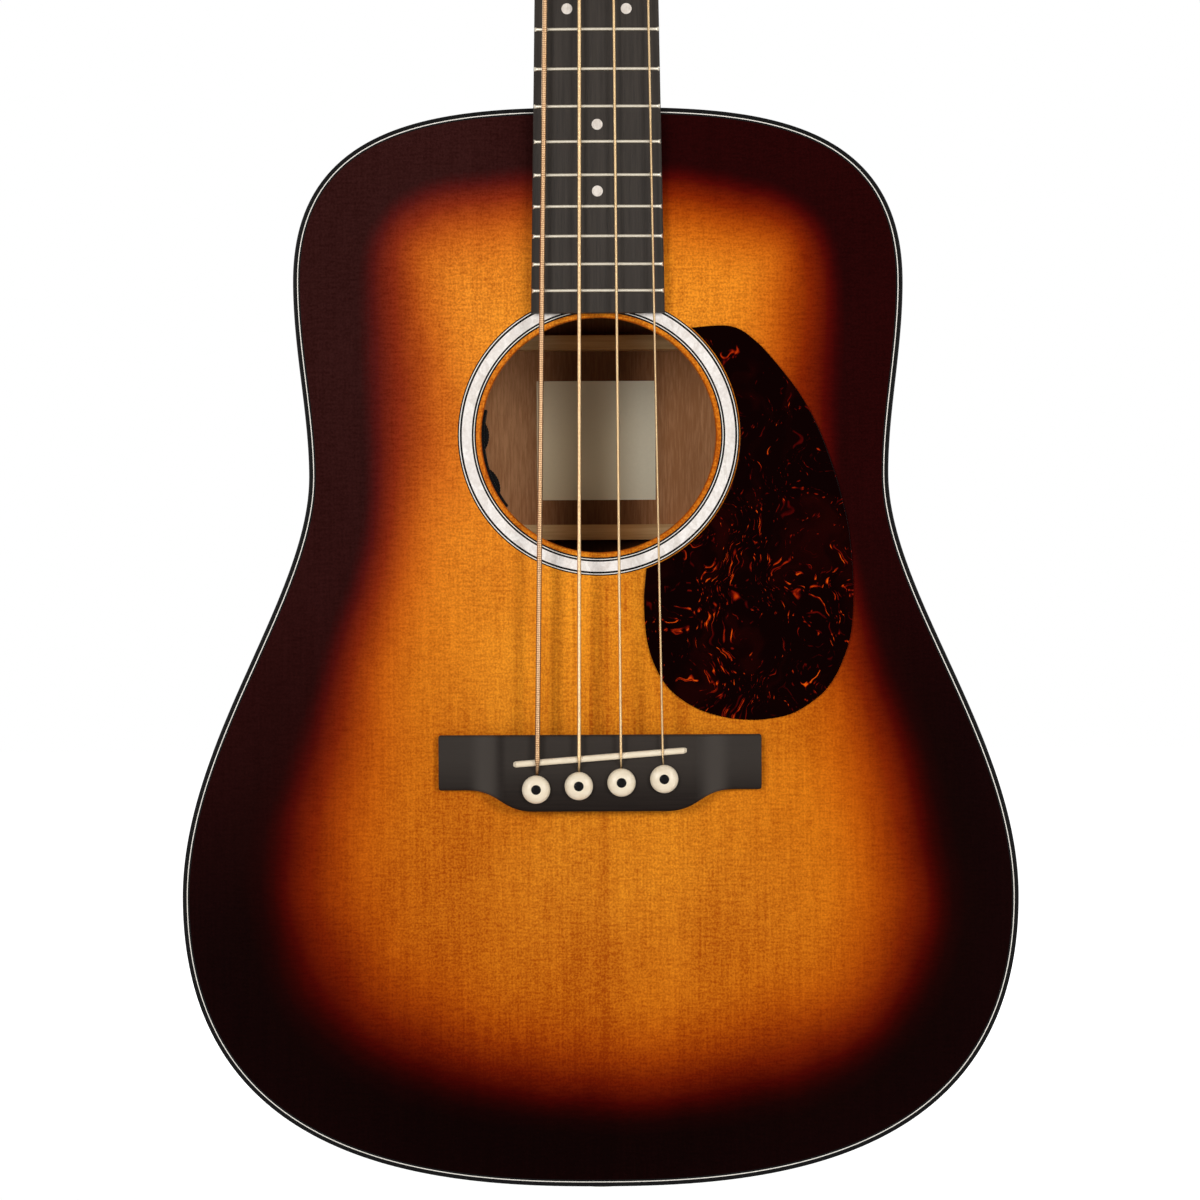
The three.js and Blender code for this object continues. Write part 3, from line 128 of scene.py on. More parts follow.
class Nodes:
    """The nodes of one material or of the world."""

    def __init__(self, owner):
        owner.use_nodes = True
        self.tree = owner.node_tree

    def join(self, value, socket):
        if isinstance(value, Signal):
            self.tree.links.new(value.socket, socket)
        elif isinstance(value, tuple) and len(value) == 3 and len(socket.default_value) == 4:
            socket.default_value = (*value, 1)
        else:
            socket.default_value = value

    def node(self, kind, settings=(), sockets=(), out=0):
        made = self.tree.nodes.new(kind)
        for key, value in dict(settings).items():
            if key == "stops":
                stops = made.color_ramp.elements
                while len(stops) < len(value):
                    stops.new(1)
                for stop, (place, colour) in zip(stops, value):
                    stop.position = place
                    stop.color = (*colour, 1)
            else:
                setattr(made, key, value)
        for key, value in dict(sockets).items():
            self.join(value, made.inputs[key])
        return Signal(self, made.outputs[out])

    def blend(self, share, first, second, way="MIX"):
        """A colour that goes from the first to the second as share goes from 0 to 1."""
        return self.node("ShaderNodeMix", {"data_type": "RGBA", "blend_type": way},
                         {0: share, 6: first, 7: second}, out=2)

    def vector(self, operation, first, second=(0, 0, 0), out=0):
        sockets = {0: first, 1: second}
        return self.node("ShaderNodeVectorMath", {"operation": operation}, sockets, out)

    def ramp(self, share, stops):
        """A colour that goes through tones, each at its own share."""
        return self.node("ShaderNodeValToRGB", {"stops": [(at, tone(*seen)) for at, seen in stops]},
                         {0: share})

    def place(self, axis=None):
        """The place on the guitar in metres, or one coordinate of it."""
        place = self.node("ShaderNodeTexCoord", out="Object")
        return self.node("ShaderNodeSeparateXYZ", {}, {0: place}, out=axis) if axis else place

    def noise(self, density, detail=2, roughness=0.5, place=None, out=0):
        """A cloudy texture with that many features a metre across, deep and along."""
        spread = self.vector("MULTIPLY", place or self.place(), density)
        return self.node("ShaderNodeTexNoise", {}, {"Vector": spread, "Detail": detail, "Scale": 1,
                                                    "Roughness": roughness}, out=out)


def tone(red, green, blue):
    """A colour written as it looks on a screen, from 0 to 255."""
    shares = [value / 255 for value in (red, green, blue)]
    return tuple(s / 12.92 if s <= 0.04045 else ((s + 0.055) / 1.055) ** 2.4 for s in shares)


world = bpy.data.worlds.new("room")
bpy.context.scene.world = world
room = Nodes(world)
ray = {name: room.node("ShaderNodeLightPath", out=name)
       for name in ("Is Camera Ray", "Is Glossy Ray", "Is Transmission Ray")}
seen = ray["Is Camera Ray"].most(ray["Is Glossy Ray"]).most(ray["Is Transmission Ray"])
room_light = 0.2
room.join(seen * (1 - room_light) + room_light, room.tree.nodes["Background"].inputs["Strength"])
room.tree.nodes["Background"].inputs["Color"].default_value = (1, 1, 1, 1)

# The floor is a plain pale sheet below the guitar, which hangs by its headstock. It is white
# to the camera and keeps the guitar's shadow.
floor_drop, floor_reach = 0.12, 8
near_glow, glow_start, glow_end = 0.42, 0.6, 2.2
floor_mesh = bpy.data.meshes.new("floor")
floor_mesh.from_pydata([(x * floor_reach, y * floor_reach, -floor_drop) for x, y in
                        ((-1, -1), (1, -1), (1, 1), (-1, 1))], [], [(0, 1, 2, 3)])
floor = bpy.data.objects.new("floor", floor_mesh)
bpy.context.scene.collection.objects.link(floor)
floor_paint = bpy.data.materials.new("floor_paint")
paper = Nodes(floor_paint)
floor_shader = paper.tree.nodes["Principled BSDF"]
floor_shader.inputs["Base Color"].default_value = (0.9, 0.9, 0.9, 1)
floor_shader.inputs["Roughness"].default_value = 0.9
floor_shader.inputs["Specular IOR Level"].default_value = 0
seen_floor = paper.node("ShaderNodeLightPath", out="Is Camera Ray").most(
    paper.node("ShaderNodeLightPath", out="Is Glossy Ray"))
from_middle = paper.vector("LENGTH", paper.place(), out="Value")
glow = seen_floor * (from_middle.between(glow_start, glow_end) * (1 - near_glow) + near_glow)
paper.join(paper.blend(glow, (0, 0, 0), (1, 1, 1)), floor_shader.inputs["Emission Color"])
floor_shader.inputs["Emission Strength"].default_value = 1
floor.data.materials.append(floor_paint)

# Bent sides: two strips of mahogany, bent to the outline and stained nearly black-brown under
# satin lacquer. All is drawn in millimetres from the tail and the face of the top, and build()
# sets it in the guitar's own frame. Where pieces would touch, a gap of 0.3 mm keeps them apart.
tail_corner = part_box("top_binding")[0]
body_length, lower_width, waist_width, upper_width = 467.6, 362.3, 251.0, 264.2
lower_height, waist_height, upper_height = 125.6, 308.2, 392.2
tail_depth, heel_depth, back_radius = 116, 92, 4572
binding_height = 6.0
rim_thickness = 2.3
outline_steps = 220
gap = 0.3


def curve(*corners, steps=200):
    """Points along a Bezier curve of three or four corners."""
    t = np.linspace(0, 1, steps)[:, None]
    order = len(corners) - 1
    return sum(math.comb(order, k) * t**k * (1 - t) ** (order - k) * np.array(corner, float)
               for k, corner in enumerate(corners))


def evenly(points, steps):
    """Points at even distances along a line of points."""
    points = np.asarray(points, float)
    run = np.concatenate([[0], np.cumsum(np.linalg.norm(np.diff(points, axis=0), axis=1))])
    at = np.linspace(0, run[-1], steps + 1)
    return np.stack([np.interp(at, run, points[:, k]) for k in range(points.shape[1])], 1)


lower, waist, upper = lower_width / 2, waist_width / 2, upper_width / 2
flank, rise = waist_height - lower_height, upper_height - waist_height
shoulder = body_length - upper_height
treble_half = evenly(np.concatenate([
    curve((0, 0), (0.346 * lower, 0), (lower, 0.035 * lower_height), (lower, lower_height)),
    curve((lower, lower_height), (lower, lower_height + 0.371 * flank),
          (waist, waist_height - 0.284 * flank), (waist, waist_height))[1:],
    curve((waist, waist_height), (waist, waist_height + 0.329 * rise),
          (upper, upper_height - 0.352 * rise), (upper, upper_height))[1:],
    curve((upper, upper_height), (upper, upper_height + shoulder),
          (0.436 * upper, body_length), (0, body_length))[1:],
]), outline_steps)
outline = np.concatenate([treble_half, treble_half[-2:0:-1] * (-1, 1)])
along_outline = np.roll(outline, -1, 0) - np.roll(outline, 1, 0)
inward = np.stack([-along_outline[:, 1], along_outline[:, 0]], 1)
inward /= np.linalg.norm(inward, axis=1)[:, None]


def inset(amount):
    return outline + inward * amount


def depth_at(x, z):
    """Depth of the body from the face of the top to the outside of the arched back."""
    taper = tail_depth + (heel_depth - tail_depth) * z / body_length
    return taper + (z * (body_length - z) - x * x) / (2 * back_radius)


def circle(steps):
    """Points round a circle of radius 1."""
    turn = np.linspace(0, 2 * math.pi, steps, endpoint=False)
    return np.stack([np.cos(turn), np.sin(turn)], 1)


def loft(rings, is_loop=False):
    """The points and faces of a skin over rings of points."""
    rings = [np.asarray(ring, float) for ring in rings]
    count = len(rings[0])
    faces = []
    for i in range(len(rings) if is_loop else len(rings) - 1):
        here, there = i * count, (i + 1) % len(rings) * count
        faces += [(here + j, here + (j + 1) % count, there + (j + 1) % count, there + j)
                  for j in range(count)]
    if not is_loop:
        last = (len(rings) - 1) * count
        faces += [tuple(range(count))[::-1], tuple(range(last, last + count))]
    return np.concatenate(rings), faces


def together(*solids):
    """Several solids' points and faces as one."""
    points, faces, start = [], [], 0
    for solid_points, solid_faces in solids:
        points.append(solid_points)
        faces += [tuple(start + corner for corner in face) for face in solid_faces]
        start += len(solid_points)
    return np.concatenate(points), faces


def build(name, solid, finish, slot, body="root", replaces=(), crease=35):
    """A piece of the guitar: its mesh, its finish, and the body that it moves with."""
    points, faces = solid
    mesh = bpy.data.meshes.new(name)
    place = np.asarray(points, float) / 1000 + np.array([0, tail_corner.y, tail_corner.z])
    mesh.from_pydata(place.tolist(), [], faces)
    mesh.validate()
    piece = bpy.data.objects.new(name, mesh)
    bpy.context.scene.collection.objects.link(piece)
    bpy.context.view_layer.objects.active = piece
    piece.select_set(True)
    bpy.ops.object.mode_set(mode="EDIT")
    bpy.ops.mesh.select_all(action="SELECT")
    bpy.ops.mesh.normals_make_consistent(inside=False)
    bpy.ops.object.mode_set(mode="OBJECT")
    bpy.ops.object.shade_smooth_by_angle(angle=math.radians(crease))
    piece.select_set(False)
    mesh.materials.append(finish)
    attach(piece, body)
    if replaces:
        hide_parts(*replaces)
    return piece


def finish(name, roughness=0.5, metallic=0.0, specular=0.5):
    """A material with its even values set, and its nodes."""
    material = bpy.data.materials.new(name)
    nodes = Nodes(material)
    shader = nodes.tree.nodes["Principled BSDF"]
    shader.inputs["Roughness"].default_value = roughness
    shader.inputs["Metallic"].default_value = metallic
    shader.inputs["Specular IOR Level"].default_value = specular
    return material, nodes, shader


def bumped(nodes, shader, height, distance, strength=1):
    """Raises the surface by a height from 0 to 1 of that many metres."""
    bump = nodes.node("ShaderNodeBump", {}, {"Height": height, "Distance": distance,
                                             "Strength": strength})
    nodes.join(bump, shader.inputs["Normal"])


def mottled(name, dark, pale, density, detail, rough, rough_spread, specular=0.5, metallic=0.0,
            contrast=None):
    """A plain material whose colour and gloss vary a little from place to place."""
    material, nodes, shader = finish(name, rough + rough_spread / 2, metallic, specular)
    cloud = nodes.noise(density, detail)
    share = cloud.between(*contrast) if contrast else cloud
    nodes.join(nodes.blend(share, dark, pale), shader.inputs["Base Color"])
    nodes.join(cloud * rough_spread + rough, shader.inputs["Roughness"])
    return material


along_the_guitar, across_the_guitar = (1, 1, 1), (0.035, 1, 28)


def grained(name, pale, dark, lines, roughness, specular, pores=0.35, turn=along_the_guitar,
            heart_and_painted_shade=None):
    """Wood between two colours, with that many grain lines a metre and at will a painted shade down
    its middle.
    """
    material, nodes, shader = finish(name, roughness, specular=specular)

    def streaks(across, along, *details):
        return nodes.noise((across * turn[0], across * turn[1], along * turn[2]), *details)

    figure = streaks(lines, lines * 0.035, 4, 0.6)
    broad = streaks(38, 5)
    pore = streaks(2600, 150, 1).between(0.6, 0.72)
    colour = nodes.blend((figure * 0.6 + broad * 0.4).between(0.36, 0.64), dark, pale)
    colour = nodes.blend(pore * pores, colour, dark)
    # Painted shade: darker down the middle of the body, where little light comes in through the
    # soundhole.
    if heart_and_painted_shade:
        off_middle = abs(nodes.place("X")).between(0.01, 0.036)
        colour = nodes.blend(1 - off_middle, colour, heart_and_painted_shade, "MULTIPLY")
    nodes.join(colour, shader.inputs["Base Color"])
    nodes.join((figure - 0.5) * 0.12 + roughness, shader.inputs["Roughness"])
    bumped(nodes, shader, 1 - pore, 0.00004, 0.5)
    return material


stained_mahogany = grained("stained_mahogany", tone(66, 29, 17), tone(34, 13, 8), 420, 0.34, 0.16)
for side, sign in (("bass", -1), ("treble", 1)):
    rings = []
    for (x, z), (nx, nz) in zip(treble_half, inward[:outline_steps + 1]):
        inner_x, inner_z = max(x + nx * rim_thickness, 0), z + nz * rim_thickness
        back, inner_back = [depth_at(*at) - binding_height for at in ((x, z), (inner_x, inner_z))]
        rings.append([(sign * x, binding_height, z), (sign * inner_x, binding_height, inner_z),
                      (sign * inner_x, inner_back, inner_z), (sign * x, back, z)])
    build(f"side_{side}_strip", loft(rings), stained_mahogany, "stained_mahogany",
          replaces=[f"side_{side}"])

# Blocks, linings and braces: planed spruce and mahogany, left bare inside the body. They are
# glued to the plates and the sides, and only two of the back braces show through the soundhole.
planed_wood = grained("planed_wood", tone(214, 178, 132), tone(182, 138, 92), 700, 0.75, 0.25, 0.2)
cross_wood = grained("cross_wood", tone(206, 172, 128), tone(172, 132, 90), 700, 0.75, 0.25, 0.2,
                     turn=across_the_guitar)
inner_nodes = ["neck_block", "tail_block", "bridge_plate", "x_brace_bass", "x_brace_treble",
               "tone_bar_upper", "tone_bar_lower", "top_lining_bass", "top_lining_treble",
               "back_lining_bass", "back_lining_treble"]
cross_nodes = ["upper_transverse_brace", "back_brace_3", "back_brace_4"]


def dressed(names, material):
    """Gives carried-over solids their finish."""
    for name in names:
        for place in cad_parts[name].material_slots:
            place.material = material


dressed(inner_nodes, planed_wood)
dressed(cross_nodes, cross_wood)

# Soundboard: one spruce plate with a round hole, glued to the linings. The sunburst is sprayed
# from the rim inwards, black-brown through red to orange, and the lacquer over it is satin.
top_thickness = 2.8
sound_radius, sound_z = 50.8, 325.6
top_inset = 2.95
hole_edge_radius, hole_edge_steps = 0.9, 5
radial_steps = 76
hole_ring_angle = np.arctan2(outline[:, 1] - sound_z, outline[:, 0])
hole_ring = np.stack([np.cos(hole_ring_angle), np.sin(hole_ring_angle)], 1)


def level(points, y):
    """Points of the plan at one depth."""
    return np.stack([points[:, 0], np.full(len(points), float(y)), points[:, 1]], 1)


def hole_at(radius):
    return hole_ring * radius + (0, sound_z)


top_rim = inset(top_inset)
top_rings = [level(hole_at(sound_radius), top_thickness)]
for turn in np.linspace(0, math.pi / 2, hole_edge_steps):
    reach = sound_radius + hole_edge_radius * (1 - math.cos(turn))
    top_rings.append(level(hole_at(reach), hole_edge_radius * (1 - math.sin(turn))))
inner_edge = hole_at(sound_radius + hole_edge_radius)
for share in np.linspace(0, 1, radial_steps + 1)[1:]:
    top_rings.append(level(inner_edge + (top_rim - inner_edge) * share, 0))
top_rings.append(level(top_rim, top_thickness))
top_solid = loft(top_rings, is_loop=True)

burst_top, nodes, shader = finish("burst_top", 0.36, specular=0.01)
burst = nodes.node("ShaderNodeAttribute", {"attribute_name": "burst"}, out="Fac")
grain = nodes.noise((760, 1, 34), 3, 0.6)
season = nodes.noise((240, 1, 7), 2, 0.6)
silk = nodes.noise((150, 1, 820), 3, 0.7)
heart_and_painted_shade = nodes.noise((190, 1, 9), 2, 0.5)
stipple = nodes.noise((1100, 1, 1000), 1)
cloud = nodes.noise((20, 1, 14), 2)
band, height = nodes.place("X"), nodes.place("Z")
sprayed = burst + (cloud - 0.5) * 0.2 + (grain - 0.5) * 0.1 + (stipple - 0.5) * 0.12
burst_reach = 4
burst_stops = [(0, (22, 4, 4)), (0.3, (19, 3, 3)), (0.6, (19, 3, 2)), (0.76, (30, 3, 2)),
               (0.88, (52, 4, 1)), (1.0, (82, 9, 2)), (1.24, (136, 40, 4)), (1.5, (180, 76, 8)),
               (1.74, (207, 103, 14)), (2.15, (226, 129, 23)), (3.4, (243, 154, 36))]
colour = nodes.ramp(sprayed / burst_reach, [(at / burst_reach, seen) for at, seen in burst_stops])
# Painted sheen: the dark rim is made redder towards the top, and a pale veil is added over the bass
# side, growing towards the top.
upper_rim_sheen = (height - band * 0.25).between(0.14, 0.3)
bass_side_sheen = height.between(0.08, 0.42) * (1 - band.between(-0.06, 0.02))
upper_bout = height.between(0.22, 0.34)
colour = nodes.blend(upper_rim_sheen, colour, tone(37, 4, 4), "LIGHTEN")
colour = nodes.blend(bass_side_sheen, colour, tone(33, 20, 18), "ADD")
colour = nodes.blend(upper_bout * sprayed.between(1.2, 2.4), colour, tone(80, 58, 20), "ADD")
bass_shade = (1 - band.between(-0.13, -0.03)) * (1 - height.between(0.1, 0.24)) * 0.08
wood_shade = (grain.between(0.34, 0.66) * 0.15 + season.between(0.35, 0.65) * 0.05
              + silk.between(0.36, 0.66) * (upper_bout * 0.06 + 0.2)
              + (stipple.between(0.3, 0.7) - 0.3) * (upper_bout * 0.08 + 0.3)
              + (1 - cloud.between(0.35, 0.65)) * 0.12 + bass_shade - upper_bout * 0.02 - 0.06)
above_bridge = height.between(0.185, 0.2) * (1 - height.between(0.24, 0.32))
seam = (1 - abs(band - 0.0016).between(0.0005, 0.003)) * (1 - height.between(0.24, 0.30)) * 0.09
hearts = (heart_and_painted_shade.between(0.5, 0.66) * (1 - abs(band).between(0.012, 0.034)) * 0.17
          + band.between(-0.006, -0.001) * 0.08) * above_bridge
pale_plank = (band.between(0.003, 0.01) * (1 - band.between(0.026, 0.05))
              * (1 - height.between(0.17, 0.2)) * 0.08)
low_shade = ((1 - height.between(0.13, 0.31)) * (0.29 - abs(band + 0.01).between(0.045, 0.12) * 0.2)
             + (1 - height.between(0.055, 0.1)) * 0.12)
hole_middle = tuple((low + high) / 2 for low, high in zip(*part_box("rosette")))
from_hole = nodes.vector("DISTANCE", nodes.place(), hole_middle, out="Value")
cut_edge = ((1 - from_hole.between(0.0532, 0.0534)) * 0.22
            + (1 - from_hole.between(0.051, 0.0517)) * 0.3)
shade = wood_shade + seam + hearts + low_shade + cut_edge - pale_plank
colour = nodes.blend(shade.least(0.8), colour, tone(146, 66, 16), "MULTIPLY")
nodes.join(colour, shader.inputs["Base Color"])
nodes.join((grain - 0.5) * 0.06 + 0.36, shader.inputs["Roughness"])
bumped(nodes, shader, grain, 0.00003, 0.35)

top_piece = build("burst_plate", top_solid, burst_top, "sunburst_top", replaces=["soundboard"])
plan = top_solid[0][:, (0, 2)]
to_rim = np.min([np.linalg.norm(plan - corner, axis=1) for corner in outline], axis=0)
spray_middle = 190
spray_widths = [
    (0, 37, 36), (20, 40, 37.5), (35, 47.3, 40.4), (49, 50.3, 40), (66, 44, 38.5),
    (80, 41.2, 37.6), (94, 37.7, 34), (110, 31.8, 29.5), (125, 31, 24), (134, 30.5, 24),
    (141, 30.2, 26), (146, 31.1, 28.8), (151, 34.4, 32.2), (157, 35, 33.7), (164, 31.2, 32.6),
    (172, 31.2, 30.4), (180, 31, 31),
]
spray_turn, bass_widths, treble_widths = np.array(spray_widths).T
turn = np.degrees(np.arctan2(np.abs(plan[:, 0]), spray_middle - plan[:, 1]))
burst_width = np.where(plan[:, 0] < 0, np.interp(turn, spray_turn, bass_widths),
                       np.interp(turn, spray_turn, treble_widths))
marks = top_piece.data.attributes.new("burst", "FLOAT", "POINT")
marks.data.foreach_set("value", (to_rim / burst_width).astype(np.float32))

# Rosette: a ring of pearl between black and white lines, let into a shallow groove round the
# soundhole and levelled with the top.
rosette_steps = 180
rosette_depth, rosette_proud = 1.3, 0.03


def washer(inner, outer, front, back, steps):
    """A flat ring round the soundhole."""
    corners = ((inner, front), (outer, front), (outer, back), (inner, back))
    return loft([level(circle(steps) * radius + (0, sound_z), y) for radius, y in corners],
                is_loop=True)


black_plastic = mottled("black_plastic", tone(12, 11, 11), tone(22, 21, 21), (900, 900, 900), 3,
                        0.22, 0.12, specular=0.05)
ivory = mottled("ivory", tone(228, 211, 182), tone(238, 224, 199), (160, 160, 420), 2,
                0.25, 0.15, specular=0.4, contrast=(0.2, 0.8))
white_plastic = mottled("white_plastic", tone(228, 222, 212), tone(243, 238, 228),
                        (700, 700, 700), 2, 0.3, 0.12, specular=0.2, contrast=(0.2, 0.8))


def pearl_shell(name, dark, pale):
    """Shell in flakes that lie at different angles."""
    material, nodes, shader = finish(name, 0.22, specular=0.5)
    bend = nodes.vector("MULTIPLY", nodes.noise((180, 1, 180), 1, out="Color"), (2.4, 0, 2.4))
    flake_place = nodes.vector("ADD", nodes.vector("MULTIPLY", nodes.place(), (460, 1, 240)), bend)
    flake = nodes.node("ShaderNodeTexVoronoi", {"feature": "SMOOTH_F1"},
                       {"Vector": flake_place, "Scale": 1, "Smoothness": 0.35}, out="Color")
    flake_share = nodes.node("ShaderNodeSeparateXYZ", {}, {0: flake}, out="X")
    wave = nodes.noise((700, 1, 700), 2, 0.6)
    nodes.join(nodes.blend(flake_share * 0.6 + wave.between(0.3, 0.7) * 0.4, dark, pale),
               shader.inputs["Base Color"])
    nodes.join(flake_share * 0.2 + 0.15, shader.inputs["Roughness"])
    return material


pearl = pearl_shell("pearl", tone(216, 206, 197), tone(246, 240, 234))
rosette_lines = [
    ("rosette_black_lines", black_plastic, "black_binding", (),
     [(53.1, 53.8), (54.13, 54.93), (59.23, 60.1), (60.47, 61.0)]),
    ("rosette_white_lines", white_plastic, "ivory_plastic", (), [(53.8, 54.13), (60.1, 60.47)]),
    ("rosette_pearl", pearl, "pearl", ["rosette"], [(54.93, 59.23)]),
]
for name, material, slot, replaced, edges in rosette_lines:
    rings = [washer(inner, outer, -rosette_proud, rosette_depth, rosette_steps)
             for inner, outer in edges]
    build(name, together(*rings), material, slot, replaces=replaced)

# Binding and purfling: black plastic strips glued into a ledge round both edges of the body,
# scraped flush and rounded over, with one pale and one black line inside the front one.
binding_width = 1.85
binding_round = 0.5
white_line = 0.37
purfling_depth = 1.4
line_proud = 0.02


def edge_band(section):
    """A strip round the body, from a closed section of insets and depths."""
    return loft([level(inset(amount), y) for amount, y in section], is_loop=True)


def over_back(points, up):
    """Points of the plan at one height inside the dished back's outside."""
    return np.stack([points[:, 0], depth_at(*points.T) - up, points[:, 1]], 1)


def back_band(section):
    """A strip round the back edge, from a closed section of insets and heights over the back."""
    return loft([over_back(inset(amount), up) for amount, up in section], is_loop=True)


rounding = [(binding_round * (1 - math.cos(turn)), binding_round * (1 - math.sin(turn)))
            for turn in np.linspace(0, math.pi / 2, 6)]
section = [(0, binding_height), *rounding, (binding_width, 0), (binding_width, binding_height)]
build("front_binding", edge_band(section), black_plastic, "black_binding", replaces=["top_binding"])
build("rear_binding", back_band(section), black_plastic, "black_binding", replaces=["back_binding"])
white_edge = binding_width + white_line
build("pale_line", edge_band([(binding_width, -line_proud), (white_edge, -line_proud),
                              (white_edge, purfling_depth), (binding_width, purfling_depth)]),
      white_plastic, "ivory_plastic", replaces=["top_purfling"])
build("black_line", edge_band([(white_edge, -line_proud), (top_inset, -line_proud),
                               (top_inset, purfling_depth), (white_edge, purfling_depth)]),
      black_plastic, "black_binding")

# Back: a dished plate, stained outside like the sides and bare reddish wood inside, with four
# braces across it. A blank paper label is glued between the two upper braces.
back_thickness = 2.6
back_steps = 40


def back_leaf(outer, inner):
    """A dished leaf of the back, between two heights over its outside."""
    shares = np.linspace(0.02, 1, back_steps)
    plans = [inset(binding_width) * share + (0, (1 - share) * body_length / 2) for share in shares]
    return loft([over_back(plan, outer) for plan in plans]
                + [over_back(plan, inner) for plan in plans[::-1]])


# The inner back carries painted shade down its middle.
bare_sapele = grained("bare_sapele", tone(212, 154, 108), tone(180, 122, 78), 1100, 0.7, 0.1, 0.6,
                      heart_and_painted_shade=tone(140, 120, 96))
build("back_outside", back_leaf(0, back_thickness / 2), stained_mahogany, "stained_mahogany",
      replaces=["back_plate"])
build("back_inside", back_leaf(back_thickness / 2, back_thickness), bare_sapele, "inner_wood")
# The two upper braces carry painted shade down their middle too.
brace_wood = grained("brace_wood", tone(234, 192, 138), tone(206, 160, 106), 700, 0.7, 0.2, 0.2,
                     turn=across_the_guitar, heart_and_painted_shade=tone(210, 180, 145))
dressed(["back_brace_1", "back_brace_2"], brace_wood)

label_size, label_thickness, label_x, label_z = 54.5, 0.2, -1.1, sound_z + 1.8
label_steps, glue = 14, 0.02
label_places = np.linspace(-label_size / 2, label_size / 2, label_steps)
label_rings = []
for x in label_x + label_places:
    strip = np.column_stack([np.full(label_steps, x), label_z + label_places])
    glued_face = over_back(strip, back_thickness + glue)
    label_rings.append(np.concatenate([glued_face, (glued_face - (0, label_thickness, 0))[::-1]]))
label_paper, nodes, shader = finish("label_paper", 0.42, specular=0.4)
fibre = nodes.noise((700, 700, 700), 3)
across = nodes.place("X")
# Painted light and shade: the label is paler towards the treble side and darker down its middle,
# where less light falls through the soundhole.
colour = nodes.blend(across.between(-0.03, 0.03), tone(248, 224, 180), tone(255, 243, 212))
off_middle = abs(across + 0.004).between(0.002, 0.026)
colour = nodes.blend(1 - off_middle, colour, tone(216, 200, 178), "MULTIPLY")
nodes.join(nodes.blend(fibre * 0.15, colour, tone(190, 178, 150)), shader.inputs["Base Color"])
nodes.join(fibre * 0.1 + 0.38, shader.inputs["Roughness"])
build("paper_label", loft(label_rings), label_paper, "label_paper", replaces=["label"])

# Neck: one piece of mahogany from the heel to the headstock, rounded behind and stained like
# the sides. A steel rod runs inside it, and its nut is turned from inside the soundhole.
scale_length = 609.6
nut_width, twelfth_width = 44.45, 53.98
nut_z = body_length + scale_length * (1 - 2 ** (-14 / 12))
nut_thickness = 5.0
neck_depth_at_nut, neck_depth_at_heel = 15.6, 18.4
heel_z, heel_length, heel_reach, heel_cap = body_length, 66, 150, 86
heel_cap_thickness, heel_sharpness = 1.8, 2.3
cap_inside = heel_cap - heel_cap_thickness
shaft_fullness, heel_fullness = 0.75, 1.9
shaft_steps, section_steps = 70, 36


def from_nut(fret):
    return scale_length * (1 - 2 ** (-fret / 12))


def board_half(z):
    return (nut_width + (twelfth_width - nut_width) * (nut_z - z) / from_nut(12)) / 2


def neck_shape(z):
    """Half the neck's width, its depth, and how full its section is."""
    along = min(max((nut_z - z) / (nut_z - heel_z), 0), 1)
    heel = min(max(1 - (z - heel_z) / heel_length, 0), 1) ** heel_sharpness
    shaft = neck_depth_at_nut + (neck_depth_at_heel - neck_depth_at_nut) * along
    fullness = shaft_fullness + (heel_fullness - shaft_fullness) * math.sqrt(heel)
    return board_half(z), shaft + (heel_reach - shaft) * heel, fullness


def rounded_section(half, depth, power, squareness=1.0):
    """Points round the back of a section, from one edge to the other."""
    turn = np.linspace(0, math.pi, section_steps + 1)
    across = np.cos(turn)
    return (np.sign(across) * half * np.abs(across) ** power,
            depth * np.maximum(np.sin(turn), 0) ** squareness)


def neck_section(z):
    xs, ys = rounded_section(*neck_shape(z))
    return np.stack([xs, np.minimum(ys, cap_inside), np.full(len(xs), z)], 1)


stations = np.concatenate([np.linspace(nut_z + 1, heel_z + heel_length, shaft_steps),
                           np.linspace(heel_z + heel_length, heel_z + gap, shaft_steps)[1:]])
head_tilt = math.radians(13)
head_up = np.array([0, math.sin(head_tilt), math.cos(head_tilt)])
head_front = np.array([0, -math.cos(head_tilt), math.sin(head_tilt)])
head_origin = np.array([0, 0, nut_z + nut_thickness])
head_length, head_thickness, head_crown, head_shoulder = 146, 15, 7, 26
lower_post_v, upper_post_v, lower_post_u, upper_post_u = 46, 102, 23, 20.5


def on_head(points):
    """Points across, up and in front of the headstock's face, set in the guitar."""
    points = np.atleast_2d(np.asarray(points, float))
    return (head_origin + points[:, :1] * (1, 0, 0) + points[:, 1:2] * head_up
            + points[:, 2:] * head_front)


neck_edge, shoulder_edge, post_edge, crown_edge = nut_width / 2, 33, 38, 42
head_side = np.concatenate([
    [(neck_edge, 0)],
    curve((neck_edge, head_shoulder / 6), (neck_edge, head_shoulder / 2),
          ((shoulder_edge + neck_edge) / 2, head_shoulder * 0.7), (shoulder_edge, head_shoulder),
          steps=14),
    curve((shoulder_edge, head_shoulder), (post_edge, lower_post_v * 0.85),
          (post_edge, lower_post_v * 1.3), steps=10)[1:],
])
head_top = np.concatenate([
    curve((crown_edge, head_length - head_crown * 1.5), (crown_edge, head_length - head_crown),
          (crown_edge - head_crown, head_length - head_crown), steps=8),
    curve((crown_edge - head_crown, head_length - head_crown), (0, head_length + head_crown),
          (-crown_edge + head_crown, head_length - head_crown), steps=24)[1:12],
])


def head_half(v):
    return np.interp(v, head_side[:, 1], head_side[:, 0])


def head_plan(foot):
    """The outline of the headstock above a height."""
    half = np.concatenate([[(head_half(foot), foot)], head_side[head_side[:, 1] > foot], head_top])
    return np.concatenate([half, half[::-1] * (-1, 1)])


